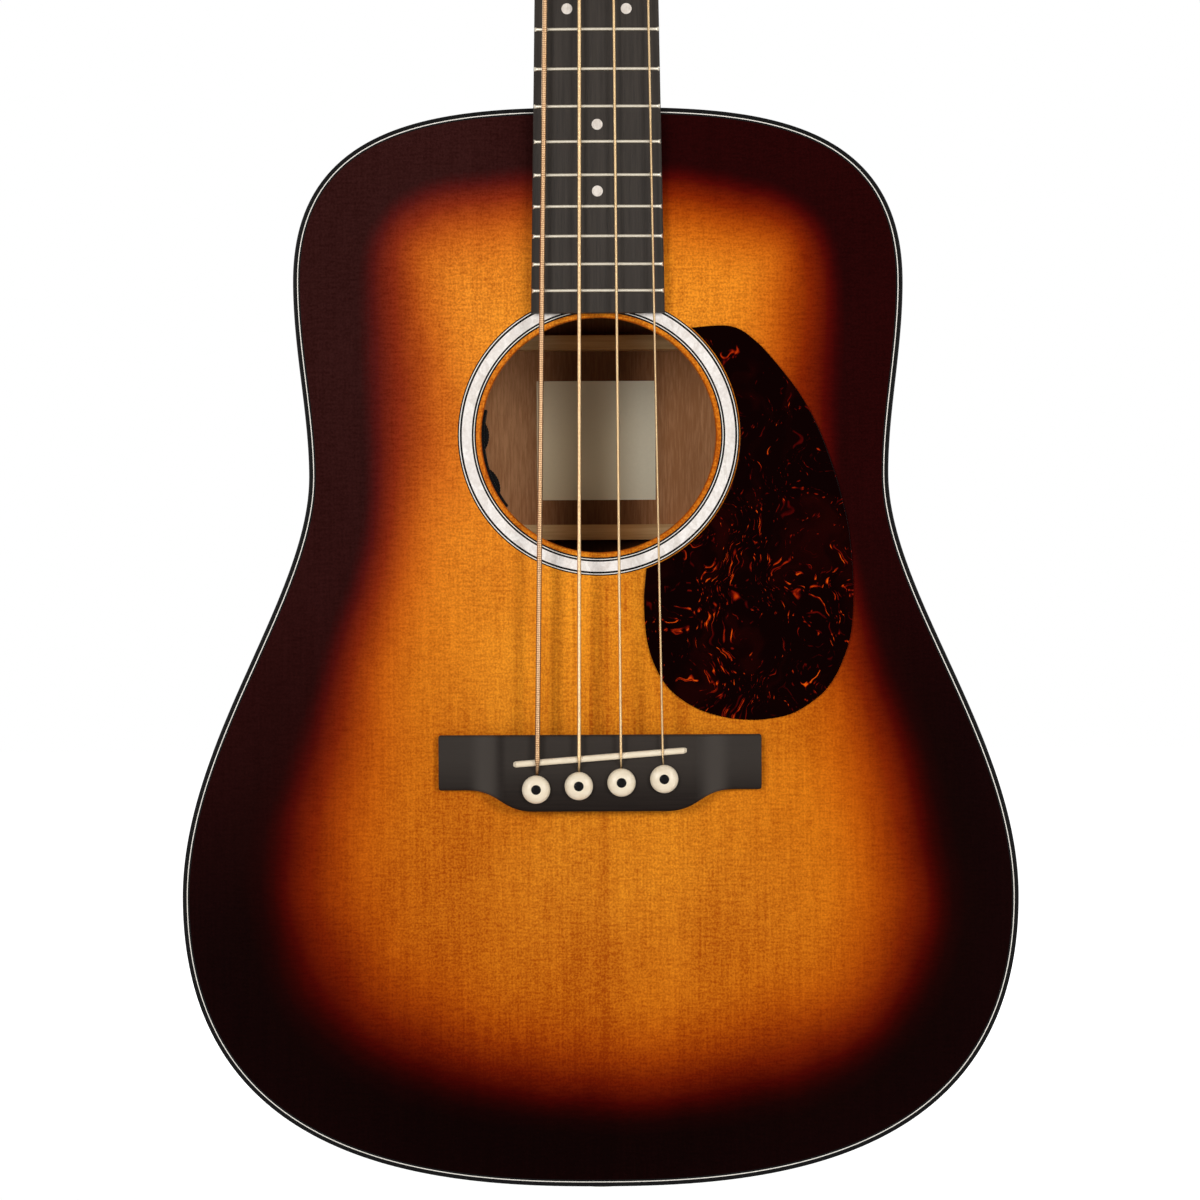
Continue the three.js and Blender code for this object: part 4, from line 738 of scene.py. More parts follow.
def drawn_in(points, amount):
    """A closed outline, moved inwards by an amount."""
    def unit(ways):
        return ways / np.maximum(np.linalg.norm(ways, axis=1), 1e-9)[:, None]

    later = np.roll(points, -1, 0)
    tangent = unit(unit(later - points) + unit(points - np.roll(points, 1, 0)))
    area = np.sum(points[:, 0] * later[:, 1] - later[:, 0] * points[:, 1])
    return points + np.stack([-tangent[:, 1], tangent[:, 0]], 1) * amount * np.sign(area)


def slab(points, back, front, bevel, place):
    """A plate of an outline with rounded edges, between two heights."""
    steps = [(back, bevel * 1.6), (back, bevel), (back + bevel, 0), (front - bevel, 0),
             (front - bevel * 0.3, bevel * 0.3), (front, bevel), (front, bevel * 1.6)]
    rings = []
    for height, amount in steps:
        ring = drawn_in(points, amount)
        rings.append(place(np.column_stack([ring, np.full(len(ring), height)])))
    return loft(rings)


root_height, root_swell, root_overlap, head_round = 33, 1.6, 3, 1.2


def root_section(v):
    """The round of the neck, as it turns into the flat of the headstock."""
    share = v / root_height
    square = share * share * (3 - 2 * share)
    depth = neck_depth_at_nut + (head_thickness - neck_depth_at_nut) * share
    depth += root_swell * math.sin(math.pi * share) ** 2
    xs, ys = rounded_section(head_half(v), depth, 0.75 - 0.69 * square, 1 - 0.94 * square)
    return on_head(np.stack([xs, np.full(len(xs), v), -ys], 1))


roots = [root_section(v) for v in np.linspace(root_height, 0, 24)]
neck_solid = together(loft(roots + [neck_section(z) for z in stations]),
                      slab(head_plan(root_height - root_overlap), -head_thickness, 0,
                           head_round, on_head))
build("neck_and_head", neck_solid, stained_mahogany, "stained_mahogany", replaces=["neck"],
      crease=50)

cap_rings = []
for z in np.linspace(heel_z + gap, heel_z + heel_length, shaft_steps * 2):
    half, depth, power = neck_shape(z)
    if depth > heel_cap + gap:
        inner, outer = [half * (1 - (y / depth) ** 2) ** (power / 2)
                        for y in (cap_inside, heel_cap)]
        cap_rings.append([(inner, cap_inside, z), (outer, heel_cap, z), (-outer, heel_cap, z),
                          (-inner, cap_inside, z)])
build("heel_plate", loft(cap_rings), black_plastic, "black_plastic")

veneer_thickness, veneer_round = 1.8, 0.5
veneer_front = veneer_thickness + gap
black_veneer = grained("black_veneer", tone(44, 38, 35), tone(26, 22, 20), 600, 0.4, 0.25)
build("head_face", slab(head_plan(gap), 0, veneer_front, veneer_round, on_head), black_veneer,
      "ebony", replaces=["head_veneer"])

turned_steel = mottled("turned_steel", tone(140, 138, 135), tone(176, 174, 170),
                       (300, 300, 5000), 2, 0.3, 0.25, metallic=1)
dressed(["truss_rod", "truss_rod_nut"], turned_steel)

# Fingerboard: dark close-grained wood with a shallow arch, twenty nickel-silver frets pressed
# into sawn slots, and pearl dots let in flush. The nut is bone, slotted for the strings.
board_thickness, board_radius = 6.3, 406.4
fret_count, board_overhang = 20, 9.9
board_end = nut_z - from_nut(fret_count) - board_overhang
board_corner = 0.5
board_steps = 24


def board_face(x):
    return -(board_thickness - x * x / (2 * board_radius))


def board_ring(z):
    half = board_half(z)
    flat = half - board_corner
    face = [(x, board_face(x), z) for x in np.linspace(-flat, flat, board_steps)]
    edge = board_face(half) + board_corner
    return [(half, edge, z), (half, 0, z), (-half, 0, z), (-half, edge, z), *face]


def dark_wood(name, across, along_grain, pale, dark, specular):
    """Black-dyed hardwood under a dull polish, with its fine grain one way."""
    material, nodes, shader = finish(name, 0.5, specular=specular)
    figure = nodes.noise((across, 900, along_grain), 4, 0.65)
    pore = nodes.noise((across * 3.5, 3200, along_grain * 3.5), 1).between(0.6, 0.74)
    colour = nodes.blend(figure.between(0.25, 0.75), dark, pale)
    nodes.join(nodes.blend(pore * 0.5, colour, tone(26, 23, 21)), shader.inputs["Base Color"])
    nodes.join((figure - 0.5) * 0.14 + 0.5, shader.inputs["Roughness"])
    bumped(nodes, shader, 1 - pore, 0.00005, 0.5)
    return material


board_wood = dark_wood("board_wood", 900, 30, tone(56, 50, 45), tone(42, 37, 33), 0.12)
build("board", loft([board_ring(board_end), board_ring(nut_z)]), board_wood, "ebony",
      replaces=["fingerboard"])

fret_width, fret_height, fret_setback = 1.65, 1.1, 0.42
fret_end, fret_inset, fret_tang = 0.955, 0.25, 0.6
fret_places = np.concatenate([np.linspace(-1, -fret_end, 4),
                              np.linspace(-fret_end, fret_end, 14)[1:-1],
                              np.linspace(fret_end, 1, 4)])
crown_turn = np.linspace(0, math.pi, 9)


def fret_solid(fret):
    z = nut_z - from_nut(fret) - fret_setback
    half = board_half(z) - fret_inset
    rings = []
    for across in fret_places:
        end = max(abs(across) - fret_end, 0) / (1 - fret_end)
        x = across * half
        crown = fret_height * (1 - 0.75 * end * end)
        wide = fret_width * (1 + 0.3 * end)
        rings.append([(x, board_face(x) - crown * math.sin(a), z - wide / 2 * math.cos(a))
                      for a in crown_turn] + [(x, board_face(x) + fret_tang, z)])
    return loft(rings)


nickel_silver = mottled("nickel_silver", tone(186, 175, 155), tone(213, 205, 189),
                        (1800, 300, 1800), 3, 0.22, 0.2, metallic=1)
frets = [fret_solid(fret) for fret in range(1, fret_count + 1)]
build("frets", together(*frets), nickel_silver, "nickel", crease=60)

dot_radius, dot_spread, dot_setback = 2.35, 12.8, 0.6
dotted_frets = (3, 5, 7, 9, 15, 17)


def between_frets(fret):
    return nut_z - (from_nut(fret) + from_nut(fret - 1)) / 2


def dot_solid(x, fret):
    rings = []
    for radius, proud in ((dot_radius, -0.6), (dot_radius, 0.02), (dot_radius * 0.5, 0.03)):
        xs, zs = (circle(28) * radius + (x, between_frets(fret) - dot_setback)).T
        rings.append(np.stack([xs, board_face(xs) - proud, zs], 1))
    return loft(rings)


dot_pearl = pearl_shell("dot_pearl", tone(196, 184, 172), tone(228, 219, 209))
dots = [dot_solid(0, fret) for fret in dotted_frets]
dots += [dot_solid(sign * dot_spread, 12) for sign in (-1, 1)]
build("position_dots", together(*dots), dot_pearl, "pearl")


def turned(profile, place, axis, steps=48):
    """A solid turned on a lathe: its radii and heights, its foot and the way that it points."""
    axis = Vector(axis).normalized()
    across = axis.orthogonal().normalized()
    ring = circle(steps) @ np.array([across, axis.cross(across)])
    return loft([np.asarray(place, float) + ring * max(radius, 0.001) + np.array(axis) * height
                 for radius, height in profile])


side_dots = []
side_dot = [(1, -0.6), (1, 0.02), (0.6, 0.03)]
for fret, shift in [(fret, 0) for fret in dotted_frets] + [(12, -4), (12, 4)]:
    z = between_frets(fret) + shift
    side_dots.append(turned(side_dot, (-board_half(z), -board_thickness / 2, z), (-1, 0, 0), 16))
build("side_dots", together(*side_dots), ivory, "ivory_plastic")
dressed(["nut"], ivory)

# Pickguard: a thin sheet of dark mottled tortoiseshell plastic with a bevelled edge, stuck to
# the lacquer, close round the rosette and free in its outer curve.
guard_radius = 61.4
guard_length, guard_width, guard_inner, guard_low = 170.5, 91, 19.3, 202.1
guard_thickness, guard_corner = 0.9, 1.1
guard_shares = [
    (0.420, 0.999), (0.540, 0.960), (0.658, 0.890), (0.760, 0.815), (0.840, 0.733), (0.905, 0.640),
    (0.948, 0.558), (0.982, 0.470), (0.998, 0.340), (0.985, 0.220), (0.938, 0.140), (0.880, 0.085),
    (0.808, 0.048), (0.700, 0.014), (0.571, 0.000), (0.463, 0.000), (0.363, 0.008), (0.258, 0.026),
    (0.168, 0.055), (0.103, 0.088), (0.051, 0.137), (0.018, 0.190), (0.003, 0.254), (0.000, 0.317),
]


def smooth_line(points, steps):
    """A smooth line through points."""
    points = np.asarray(points, float)
    padded = np.concatenate([points[:1], points, points[-1:]])
    line = []
    for a, b, c, d in zip(padded, padded[1:], padded[2:], padded[3:]):
        for t in np.linspace(0, 1, steps, endpoint=False):
            bend = 2 * a - 5 * b + 4 * c - d + t * (3 * (b - c) + d - a)
            line.append(b + 0.5 * t * (c - a + t * bend))
    return np.array(line + [points[-1]])


tip_turn = math.asin((guard_low + guard_length - sound_z) / guard_radius)
tip_turn -= guard_corner / guard_radius
foot_turn = -math.acos((guard_inner + guard_corner) / guard_radius)
turn = np.linspace(foot_turn, tip_turn, 60)
guard_arc = np.stack([guard_radius * np.cos(turn), guard_radius * np.sin(turn) + sound_z], 1)
guard_free = np.array(guard_shares) * (guard_width, guard_length) + (guard_inner, guard_low)
guard_line = np.concatenate([guard_arc[:-1], smooth_line([guard_arc[-1], *guard_free], 6)])


def on_top(points):
    """Points across, up and in front of the top, set in the guitar."""
    return np.stack([points[:, 0], -points[:, 2], points[:, 1]], 1)


tortoiseshell, nodes, shader = finish("tortoiseshell", 0.14, specular=0.008)
swirl = nodes.vector("SUBTRACT", nodes.noise((32, 1, 32), 3, out="Color"), (0.5, 0.5, 0.5))
bent_place = nodes.vector("ADD", nodes.place(), nodes.vector("MULTIPLY", swirl, (0.06, 0, 0.06)))
fine, middle, large = [nodes.noise(density, place=bent_place)
                       for density in ((760, 1, 230), (400, 1, 140), (130, 1, 70))]
crowd = nodes.noise((24, 1, 20))
low_down = 1 - nodes.place("Z").between(0.24, 0.34)
dense = (crowd - 0.5) * 0.2 + low_down * 0.032
glint = (fine + dense - 0.05).most(middle + dense - 0.06).most(large + dense * 0.4 - 0.084)
haze = nodes.noise((60, 1, 30), 3, place=bent_place)
colour = nodes.blend(haze.between(0.5, 0.74) * 0.7, tone(10, 0, 0), tone(32, 2, 1))
fleck_stops = [(0.6, (0, 0, 0)), (0.62, (44, 1, 1)), (0.637, (74, 5, 2)), (0.655, (110, 16, 2)),
               (0.682, (160, 41, 4)), (0.74, (216, 86, 8))]
nodes.join(nodes.blend(1.0, colour, nodes.ramp(glint, fleck_stops), "LIGHTEN"),
           shader.inputs["Base Color"])
build("guard_sheet", slab(guard_line, 0, guard_thickness + gap, 0.35, on_top), tortoiseshell,
      "tortoiseshell", replaces=["pickguard"])

# Bridge: dark wood glued to the top, flat over its belly and scooped down to thin wing tips.
# The bone saddle stands in a slanting slot, and four pins with a black dot wedge the strings.
bridge_length, bridge_wing, bridge_belly = 139.7, 23.8, 32.9
bridge_height, wing_tip_height = 8.5, 3.4
crown_length, scoop_length = 84, 11
belly_flat, belly_start, bridge_corner = 57, 115, 0.9
saddle_spread, pin_spread = 53.9, 55.2
bass_setback, treble_setback = 11.9, 7.7
wood_above_saddle, pins_below_saddle = 9.55, 11.55
saddle_slope = (bass_setback - treble_setback) / saddle_spread
saddle_middle = nut_z - scale_length - (bass_setback + treble_setback) / 2
bridge_top_edge = saddle_middle + wood_above_saddle
pin_row = saddle_middle - pins_below_saddle
edge_round = 1.3
bridge_stations = 150

belly_turn = (belly_start + belly_flat) / 4
belly_line = curve((-belly_start / 2, 0), (-belly_turn, 0), (-belly_turn, 1), (-belly_flat / 2, 1))


def bridge_section(x):
    """One cut across the bridge: flat underneath, and rounded at its front edges."""
    reach = abs(x)
    into_corner = max(reach - (bridge_length / 2 - bridge_corner), 0) / bridge_corner
    trim = bridge_corner * (1 - math.sqrt(max(1 - into_corner**2, 0)))
    belly = np.interp(-reach, belly_line[:, 0], belly_line[:, 1])
    low = bridge_top_edge - bridge_wing - (bridge_belly - bridge_wing) * belly + trim
    high = bridge_top_edge - trim
    slide = min(max((reach - crown_length / 2) / (2 * scoop_length), 0), 1)
    height = bridge_height - (bridge_height - wing_tip_height) * (1 - (1 - slide) ** 2)
    height -= 0.5 * into_corner**2
    edge = min(edge_round, height / 2)
    turn = np.linspace(0, math.pi / 2, 6)
    side = height - edge
    lower_edge = [(x, -side - edge * math.sin(a), low + edge - edge * math.cos(a)) for a in turn]
    upper_edge = [(x, -side - edge * math.cos(a), high - edge + edge * math.sin(a)) for a in turn]
    flat = [(x, -height, low + edge * 1.5), (x, -height, high - edge * 1.5)]
    return [(x, 0, low), *lower_edge, *flat, *upper_edge, (x, 0, high)]


corner_xs = bridge_length / 2 - bridge_corner * (1 - np.sin(np.linspace(0, math.pi / 2, 6)))
bridge_xs = np.unique(np.concatenate([np.linspace(-1, 1, bridge_stations) * bridge_length / 2,
                                      -corner_xs, corner_xs]))
bridge_wood = dark_wood("bridge_wood", 30, 1400, tone(33, 26, 22), tone(22, 16, 13), 0.05)
nodes = Nodes(bridge_wood)
shader = nodes.tree.nodes["Principled BSDF"]
across, height = nodes.place("X"), nodes.place("Z")
# Painted light: the wood is paler towards the upper edge of the bridge, except in a thin line where
# the bass scoop starts, and each scoop carries a painted highlight.
scoop = abs(across).between(0.041, 0.0485) * (1 - abs(across).between(0.0505, 0.0575))
corner = 1 - abs(across + 0.0435).between(0.0005, 0.0035)
painted_light = height.between(0.172, 0.196) * 0.5 * (1 - scoop) * (1 - corner * 0.8) + scoop * 0.85
colour = Signal(nodes, shader.inputs["Base Color"].links[0].from_socket)
nodes.join(nodes.blend(painted_light, colour, tone(68, 62, 57)), shader.inputs["Base Color"])
build("bridge_block", loft([bridge_section(x) for x in bridge_xs]), bridge_wood, "ebony",
      replaces=["bridge"], crease=40)
dressed(["saddle_pickup"], black_plastic)


action_at_nut, action_at_twelfth = 0.5, 2.4


def board_rise(x, z):
    """How far the underside of a string lies in front of the top."""
    slope = (action_at_twelfth - action_at_nut) / from_nut(12)
    return -board_face(x) + fret_height + action_at_nut + slope * (nut_z - z)


saddle_length, saddle_thickness, saddle_foot = 74.8, 2.75, 3.2
saddle_corner, saddle_crown, saddle_end_drop = 1.6, 1.3, 1.4
saddle_rings = []
for x in np.linspace(-saddle_length / 2, saddle_length / 2, 60):
    z = saddle_middle + saddle_slope * x
    end = max(abs(x) - (saddle_length / 2 - saddle_corner), 0) / saddle_corner
    drop = saddle_crown + saddle_end_drop * (1 - math.sqrt(max(1 - end**2, 0)))
    flank = board_rise(x * 0.94, z) - drop
    half = saddle_thickness / 2 * (1 - 0.25 * end**2)
    saddle_rings.append([(x, -flank - saddle_crown * math.sin(a), z - half * math.cos(a))
                         for a in np.linspace(0, math.pi, 11)]
                        + [(x, -saddle_foot, z + half), (x, -saddle_foot, z - half)])
build("saddle_bone", loft(saddle_rings), ivory, "ivory_plastic", replaces=["saddle"])


string_names = ("e", "a", "d", "g")
pin_head, pin_shank, pin_dot_radius = 6.1, 2.9, 2.1


def pin_place(i):
    x = (i / 3 - 0.5) * pin_spread
    return x, pin_row + saddle_slope * x


pin_dome = [(pin_head * math.cos(a) ** 0.7, 1 + 3.2 * math.sin(a))
            for a in np.linspace(0, 1.35, 12)]
pin_profile = [(2.3, -24), (pin_shank, 0), (pin_head * 0.92, 0), *pin_dome, (0, 4.25)]
pin_dot = [(pin_dot_radius, 3.6), (pin_dot_radius, 4.26), (pin_dot_radius * 0.8, 4.42), (0, 4.5)]
pin_dots = []
for i, name in enumerate(string_names):
    x, z = pin_place(i)
    foot = (x, -bridge_height, z)
    build(f"pin_{name}", turned(pin_profile, foot, (0, -1, 0)), ivory, "ivory_plastic",
          replaces=[f"bridge_pin_{name}"])
    pin_dots.append(turned(pin_dot, foot, (0, -1, 0), 28))
build("pin_dots", together(*pin_dots), black_plastic, "black_binding")

# Tuners: a nickel plate with a bush through the headstock, a post with a gear on it, and a key
# whose worm turns the gear. Each key and each post turns by itself.
tuner_places = {"e": (-lower_post_u, lower_post_v), "a": (-upper_post_u, upper_post_v),
                "d": (upper_post_u, upper_post_v), "g": (lower_post_u, lower_post_v)}
plate_half, plate_length, plate_thickness, plate_foot, plate_corner = 11.5, 30, 1.6, 4.3, 2.5
stand_half, stand_thickness, stand_corner, stand_gap = 4, 2.4, 1.6, 1.5
bush_profile = [(5.4, -18), (6.4, -18), (6.4, 0), (8.6, 0), (8.6, 1), (8.2, 1.6), (5.4, 1.6),
                (5.4, -18)]
screw_profile = [(1.9, 0), (1.9, 0.4), (1.3, 0.9), (0.5, 1.1), (0, 1.12)]
screw_places = ((-9, -11.5), (9, 10.5), (-9, 10.5), (9, -11.5))
post_radius, post_rise, slot_depth, slot_half = 5, 19, 5, 1.4
gear_radius, gear_thickness, gear_teeth, tooth = 7.2, 4.6, 20, 1.1
worm_radius, worm_length, worm_pitch, shaft_radius = 3.3, 9.4, 2.1, 2
shaft_overhang, worm_sides, button_steps = 3, 32, 56
plate_w = -head_thickness - gap
shaft_w = plate_w - plate_thickness - gap - worm_radius
shaft_v = -(gear_radius + worm_radius + gap)
key_length, key_width, key_thickness, key_reach = 21, 25, 4.6, 51

nickel = mottled("nickel", tone(150, 147, 142), tone(180, 177, 172), (220, 220, 220), 3,
                 0.12, 0.16, metallic=1)


def on_tuner(place):
    """Points outwards, up and in front, counted from a tuner's post."""
    u, v = place
    outwards = (math.copysign(1, u), 1, 1)
    return lambda points: on_head(np.asarray(points, float) * outwards + (u, v, 0))


def rounded_plan(half_u, low_v, high_v, corner):
    """A rectangle with round corners."""
    points = []
    for su, v, start in ((1, high_v, 0), (-1, high_v, 90), (-1, low_v, 180), (1, low_v, 270)):
        middle = (su * (half_u - corner), v - math.copysign(corner, v))
        for a in np.radians(np.linspace(start, start + 90, 6)):
            points.append((middle[0] + corner * math.cos(a), middle[1] + corner * math.sin(a)))
    return np.array(points)


def tuner_plate(set_in):
    """The plate with its four screws, the worm's two stands, and the bush in front."""
    low = shaft_v - plate_foot
    plate_plan = rounded_plan(plate_half, low, low + plate_length, plate_corner)
    stand_plan = rounded_plan(stand_half, -stand_half, stand_half, stand_corner)
    parts = [slab(plate_plan, plate_w - plate_thickness, plate_w, 0.4, set_in),
             turned(bush_profile, set_in([(0, 0, veneer_front)])[0], head_front)]
    for end in (-1, 1):
        middle = end * (worm_length / 2 + stand_gap)
        parts.append(slab(stand_plan, middle - stand_thickness / 2, middle + stand_thickness / 2,
                          0.3, lambda points: set_in(points[:, (2, 0, 1)] + (0, shaft_v, shaft_w))))
    screw_w = plate_w - plate_thickness + 0.05
    return parts + [turned(screw_profile, set_in([(u, v, screw_w)])[0], -head_front, 20)
                    for u, v in screw_places]


def tuner_post(set_in):
    """The gear, and the post in front of it with a slot across its top."""
    turn = np.linspace(0, 2 * math.pi, gear_teeth * 8, endpoint=False)
    teeth = tooth * (0.5 + 0.5 * np.clip(1.6 * np.cos(turn * gear_teeth), -1, 1))
    gear = circle(gear_teeth * 8) * (gear_radius - teeth)[:, None]
    slot_top = math.sqrt(post_radius**2 - slot_half**2)
    half_moon = np.array([(slot_half, -slot_top), *[
        (post_radius * math.cos(a), post_radius * math.sin(a)) for a in np.linspace(-1.28, 1.28, 16)
    ], (slot_half, slot_top)])
    shaft_top = post_rise - slot_depth
    return [slab(gear, shaft_w - gear_thickness / 2, shaft_w + gear_thickness / 2, 0.2, set_in),
            turned([(post_radius, 0), (post_radius, shaft_top - shaft_w)],
                   set_in([(0, 0, shaft_w)])[0], head_front),
            *[slab(half_moon * (side, 1), shaft_top - 0.01, post_rise, 0.4, set_in)
              for side in (1, -1)]]


def tuner_key(set_in, u):
    """The shaft, its worm, and the flat button to be turned between two fingers."""
    def on_shaft(out, ring):
        return set_in(np.column_stack([np.broadcast_to(out, len(ring)), ring + (shaft_v, shaft_w)]))

    foot, outward = set_in([(0, shaft_v, shaft_w)])[0], (math.copysign(1, u), 0, 0)
    edge = key_reach - abs(u)
    half_worm = worm_length / 2
    shaft_end = -half_worm - shaft_overhang
    shaft = turned([(0, shaft_end), (shaft_radius, shaft_end), (shaft_radius, -half_worm)],
                   foot, outward, 24)
    stem = turned([(shaft_radius, half_worm), (shaft_radius, edge - 8), (3.2, edge - 7),
                   (3.2, edge - 2), (2.6, edge), (2.6, edge + 1)], foot, outward, 32)
    worm = []
    for along in np.linspace(-half_worm, half_worm, 64):
        phase = (along / worm_pitch - np.arange(worm_sides) / worm_sides) % 1
        radius = worm_radius - tooth * np.abs(2 * phase - 1)
        worm.append(on_shaft(along, circle(worm_sides) * radius[:, None]))
    button = []
    for lean in np.linspace(-math.pi / 2, math.pi / 2, 11):
        shrink = key_thickness / 2 * (1 - math.cos(lean))
        rim = circle(button_steps) * (key_length / 2 - shrink, key_width / 2 - shrink)
        level_w = np.full(button_steps, key_thickness / 2 * math.sin(lean))
        button.append(on_shaft(edge + key_length / 2 - key_thickness / 6 + rim[:, 0],
                               np.column_stack([rim[:, 1], level_w])))
    return [shaft, stem, loft(worm), loft(button)]


for name, place in tuner_places.items():
    set_in = on_tuner(place)
    build(f"plate_{name}", together(*tuner_plate(set_in)), nickel, "nickel",
          replaces=[f"tuner_plate_{name}"])
    build(f"post_{name}", together(*tuner_post(set_in)), nickel, "nickel", body=f"post_{name}",
          replaces=[f"tuner_post_{name}"])
    build(f"key_{name}", together(*tuner_key(set_in, place[0])), nickel, "nickel",
          body=f"key_{name}", replaces=[f"tuner_key_{name}"])

# Preamp: a slim black plastic box under the top at the rim of the soundhole, with two ribbed
# thumbwheels whose rims stand into the hole.
preamp_lip, preamp_wall, preamp_width = 1.2, 1.5, 22
preamp_inner = sound_radius - preamp_lip
preamp_outer = preamp_inner + preamp_width
preamp_turn = np.radians(np.linspace(167, 217.5, 48))
preamp_front, preamp_depth = top_thickness + gap, 11
preamp_back = preamp_front + preamp_depth
wheel_radius, wheel_thickness, wheel_sunk, wheel_showing = 10.8, 3, 2.6, 3.3
wheel_front = preamp_front + wheel_sunk
wheel_back = wheel_front + wheel_thickness
wheel_ribs, wheel_rib_height, wheel_steps = 54, 0.2, 324
axle_radius, axle_reach = 1.5, 1.6
wheel_ring = sound_radius - wheel_showing + wheel_radius
wheel_turns = {"volume": math.pi, "tone": math.radians(203.4)}


def arc_block(inner, outer, front, back):
    """A slice of a ring at the rim of the soundhole."""
    corners = ((inner, front), (outer, front), (outer, back), (inner, back))
    return loft([[(radius * math.cos(a), y, radius * math.sin(a) + sound_z)
                  for radius, y in corners] for a in preamp_turn])


walls = [arc_block(preamp_inner, preamp_outer, preamp_front, wheel_front - gap),
         arc_block(preamp_inner, preamp_outer, wheel_back + gap, preamp_back),
         arc_block(preamp_outer - preamp_wall, preamp_outer, preamp_front, preamp_back)]
build("preamp_box", together(*walls), black_plastic, "black_plastic", replaces=["preamp"])
for name, angle in wheel_turns.items():
    x, z = wheel_ring * math.cos(angle), sound_z + wheel_ring * math.sin(angle)
    turn = np.linspace(0, 2 * math.pi, wheel_steps, endpoint=False)
    ribs = wheel_rib_height * (0.5 + 0.5 * np.cos(turn * wheel_ribs))
    rim = circle(wheel_steps) * (wheel_radius - ribs)[:, None]

    def in_box(points):
        return np.stack([points[:, 0] + x, points[:, 2], points[:, 1] + z], 1)

    axle = turned([(axle_radius, 0), (axle_radius, wheel_thickness + axle_reach * 2)],
                  (x, wheel_front - axle_reach, z), (0, 1, 0), 24)
    wheel = together(slab(rim, wheel_front, wheel_back, 0.3, in_box), axle)
    build(f"{name}_thumbwheel", wheel, black_plastic, "black_plastic", body=name,
          replaces=[f"{name}_wheel"])

# End pin jack and heel button: turned brass, nickel plated. The jack is screwed through the
# tail block and doubles as the lower strap pin; the button is screwed into the heel.
jack_standing, button_height = 7.5, 9.3
jack_foot = (0, tail_depth / 2, -jack_standing - gap)
jack_profile = [(3.3, 33.5), (3.3, 0.5), (3.7, 0), (8.3, 0), (8.8, 0.5), (8.8, 2.1), (8.4, 2.5),
                (6.8, 2.8), (6.8, 5.6), (7.2, 5.9), (10.1, 5.9), (10.5, 6.3), (10.5, 7.5), (6, 7.5),
                (6, 30.7), (9, 30.7), (9, 33.7), (6, 33.7), (6, 45.2), (0, 45.2)]
build("jack_body", turned(jack_profile, jack_foot, (0, 0, 1), 64), nickel, "nickel",
      replaces=["end_pin_jack"])
button_foot = (0, heel_cap, heel_z + button_height)
button_profile = [(0, 0), (5.1, 0), (4.2, 1.2), (3.6, 2.8), (3.6, 5.4), (4.4, 6.8), (5.9, 7.9),
                  (6.4, 8.7), (6.4, 9.5), (5.9, 10), (0, 10)]
build("strap_button", turned(button_profile, button_foot, (0, 1, 0)), nickel, "nickel",
      replaces=["heel_strap_button"])

# Strings: a steel core wound with bronze, wedged by the pins, led over the saddle and the nut,
# and wound two and a half turns round each post.
string_diameters = {"e": 2.2, "a": 1.65, "d": 1.2, "g": 0.95}
winding_pitches = {"e": 0.8, "a": 0.55, "d": 0.42, "g": 0.3}
nut_spread = 35.8
thin_share = 0.68
round_steps, post_rounds, round_gap, first_round = 44, 2.5, 0.45, 13
string_sides, saddle_gap = 16, 0.1


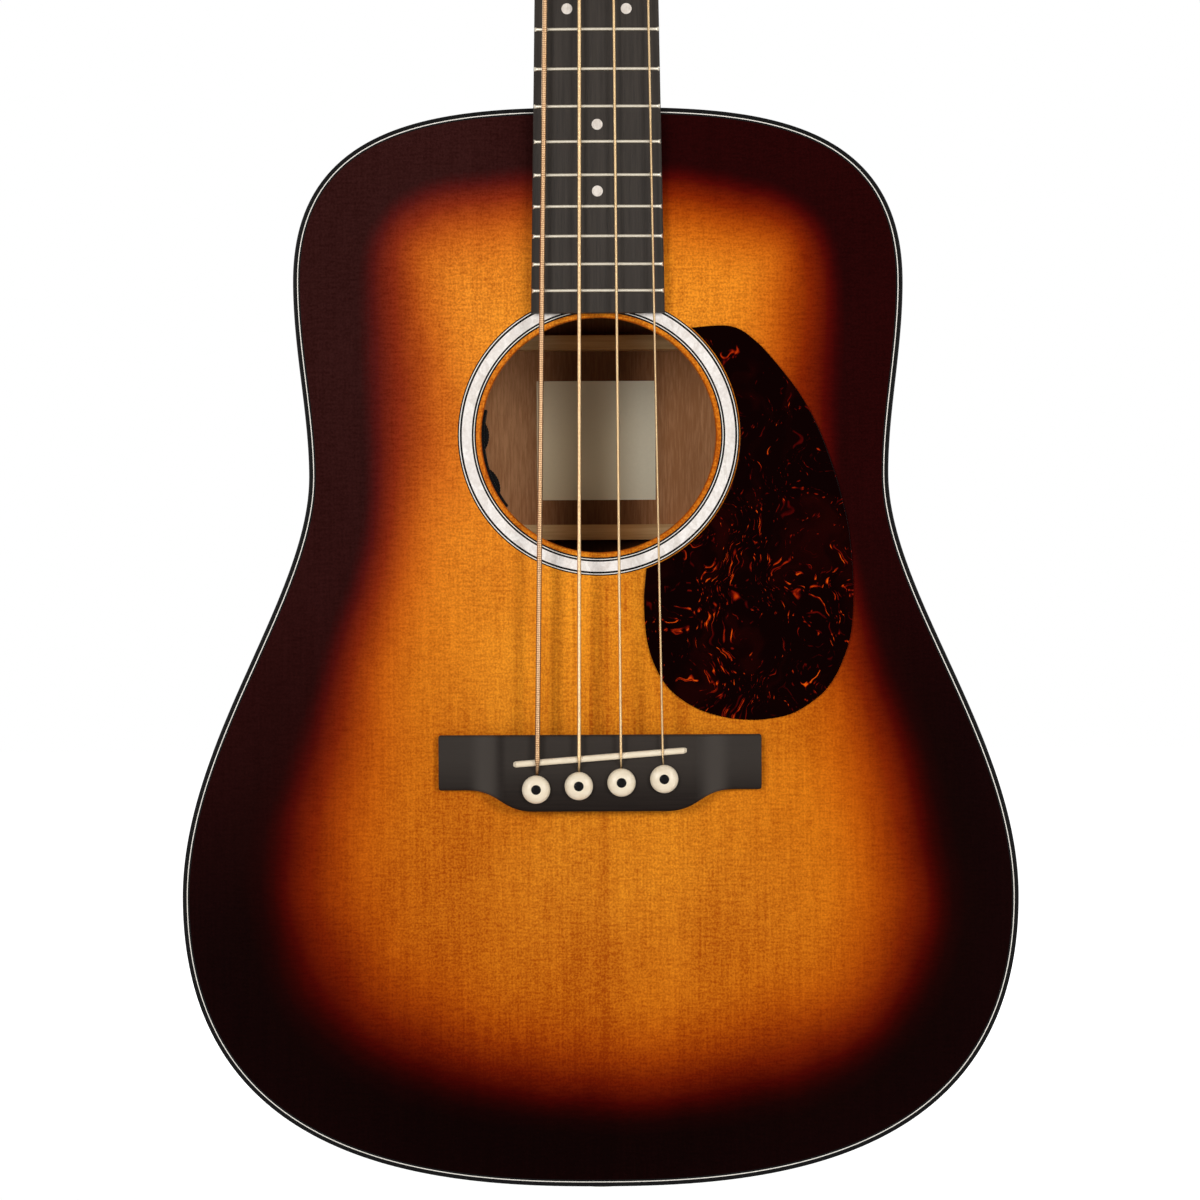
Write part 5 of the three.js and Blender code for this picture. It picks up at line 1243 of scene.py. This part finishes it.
def string_path(name, i):
    """The points of a string's line and its radius at each."""
    radius = string_diameters[name] / 2
    thin = radius * thin_share
    pin_x, pin_z = pin_place(i)
    beside = pin_z + pin_shank + gap + thin
    x = (i / 3 - 0.5) * saddle_spread
    saddle_z = saddle_middle + saddle_slope * x
    crest = board_rise(x, saddle_z)
    points = [(pin_x, -bridge_height / 3, beside), (pin_x, -bridge_height / 2, beside),
              ((pin_x + x) / 2, -bridge_height + thin, pin_z + pin_head),
              (x, -crest - saddle_gap - thin, saddle_z - saddle_thickness / 2),
              (x, -crest - saddle_gap - radius, saddle_z + saddle_thickness / 2)]
    nut_x = (i / 3 - 0.5) * nut_spread
    over_nut = board_rise(nut_x, nut_z) + radius
    points += [(nut_x, -over_nut, nut_z), (nut_x, -over_nut, nut_z + nut_thickness * 0.6)]
    radii = [thin] * 4 + [radius] * 3
    u, v = tuner_places[name]
    inner = math.copysign(1, u)
    winding = post_radius + gap + radius
    touching = math.acos(winding / math.hypot(u - nut_x, v))
    start = math.atan2(v, u - nut_x) + math.pi - inner * touching
    for step in range(int(post_rounds * round_steps) + 1):
        turns = step / round_steps
        angle = start - inner * turns * 2 * math.pi
        points += [*on_head([(u + winding * math.cos(angle), v + winding * math.sin(angle),
                              first_round - turns * (2 * radius + round_gap))])]
        radii.append(radius)
    return np.array(points), radii


def wound_wire(name, dark, pale, groove):
    """Bronze wire wound round a core, with painted shade between its turns."""
    material, nodes, shader = finish(name, 0.32, metallic=1)
    turns = nodes.node("ShaderNodeAttribute", {"attribute_name": "turns"}, out="Fac")
    ridge = (turns * (2 * math.pi)).sine() * 0.5 + 0.5
    tarnish = nodes.noise((700, 700, 120), 3)
    colour = nodes.blend(tarnish, dark, pale)
    nodes.join(nodes.blend(ridge, nodes.blend(groove, colour, tone(96, 60, 34)), colour),
               shader.inputs["Base Color"])
    nodes.join(tarnish * 0.15 + 0.26, shader.inputs["Roughness"])
    bumped(nodes, shader, ridge, 0.0001, 0.7)
    return material


# The thickest string's bronze is painted darker, for the deeper shade between its turns.
shaded_thick_bronze = wound_wire("shaded_thick_bronze", tone(188, 146, 104), tone(208, 176, 138), 0.8)
fine_bronze = wound_wire("fine_bronze", tone(226, 186, 132), tone(246, 220, 172), 0.6)
for i, name in enumerate(string_names):
    points, radii = string_path(name, i)
    rings, runs, run, across = [], [], 0.0, np.array([1.0, 0, 0])
    for k, point in enumerate(points):
        way = points[min(k + 1, len(points) - 1)] - points[max(k - 1, 0)]
        way /= np.linalg.norm(way)
        across = across - way * across.dot(way)
        across /= np.linalg.norm(across)
        rings.append(point + radii[k] * circle(string_sides) @ [across, np.cross(way, across)])
        run += np.linalg.norm(point - points[k - 1]) if k else 0
        runs += [run / winding_pitches[name]] * string_sides
    bronze = shaded_thick_bronze if name == "e" else fine_bronze
    piece = build(f"wound_string_{name}", loft(rings), bronze, "bronze",
                  replaces=[f"string_{name}"], crease=60)
    marks = piece.data.attributes.new("turns", "FLOAT", "POINT")
    marks.data.foreach_set("value", np.array(runs, np.float32))
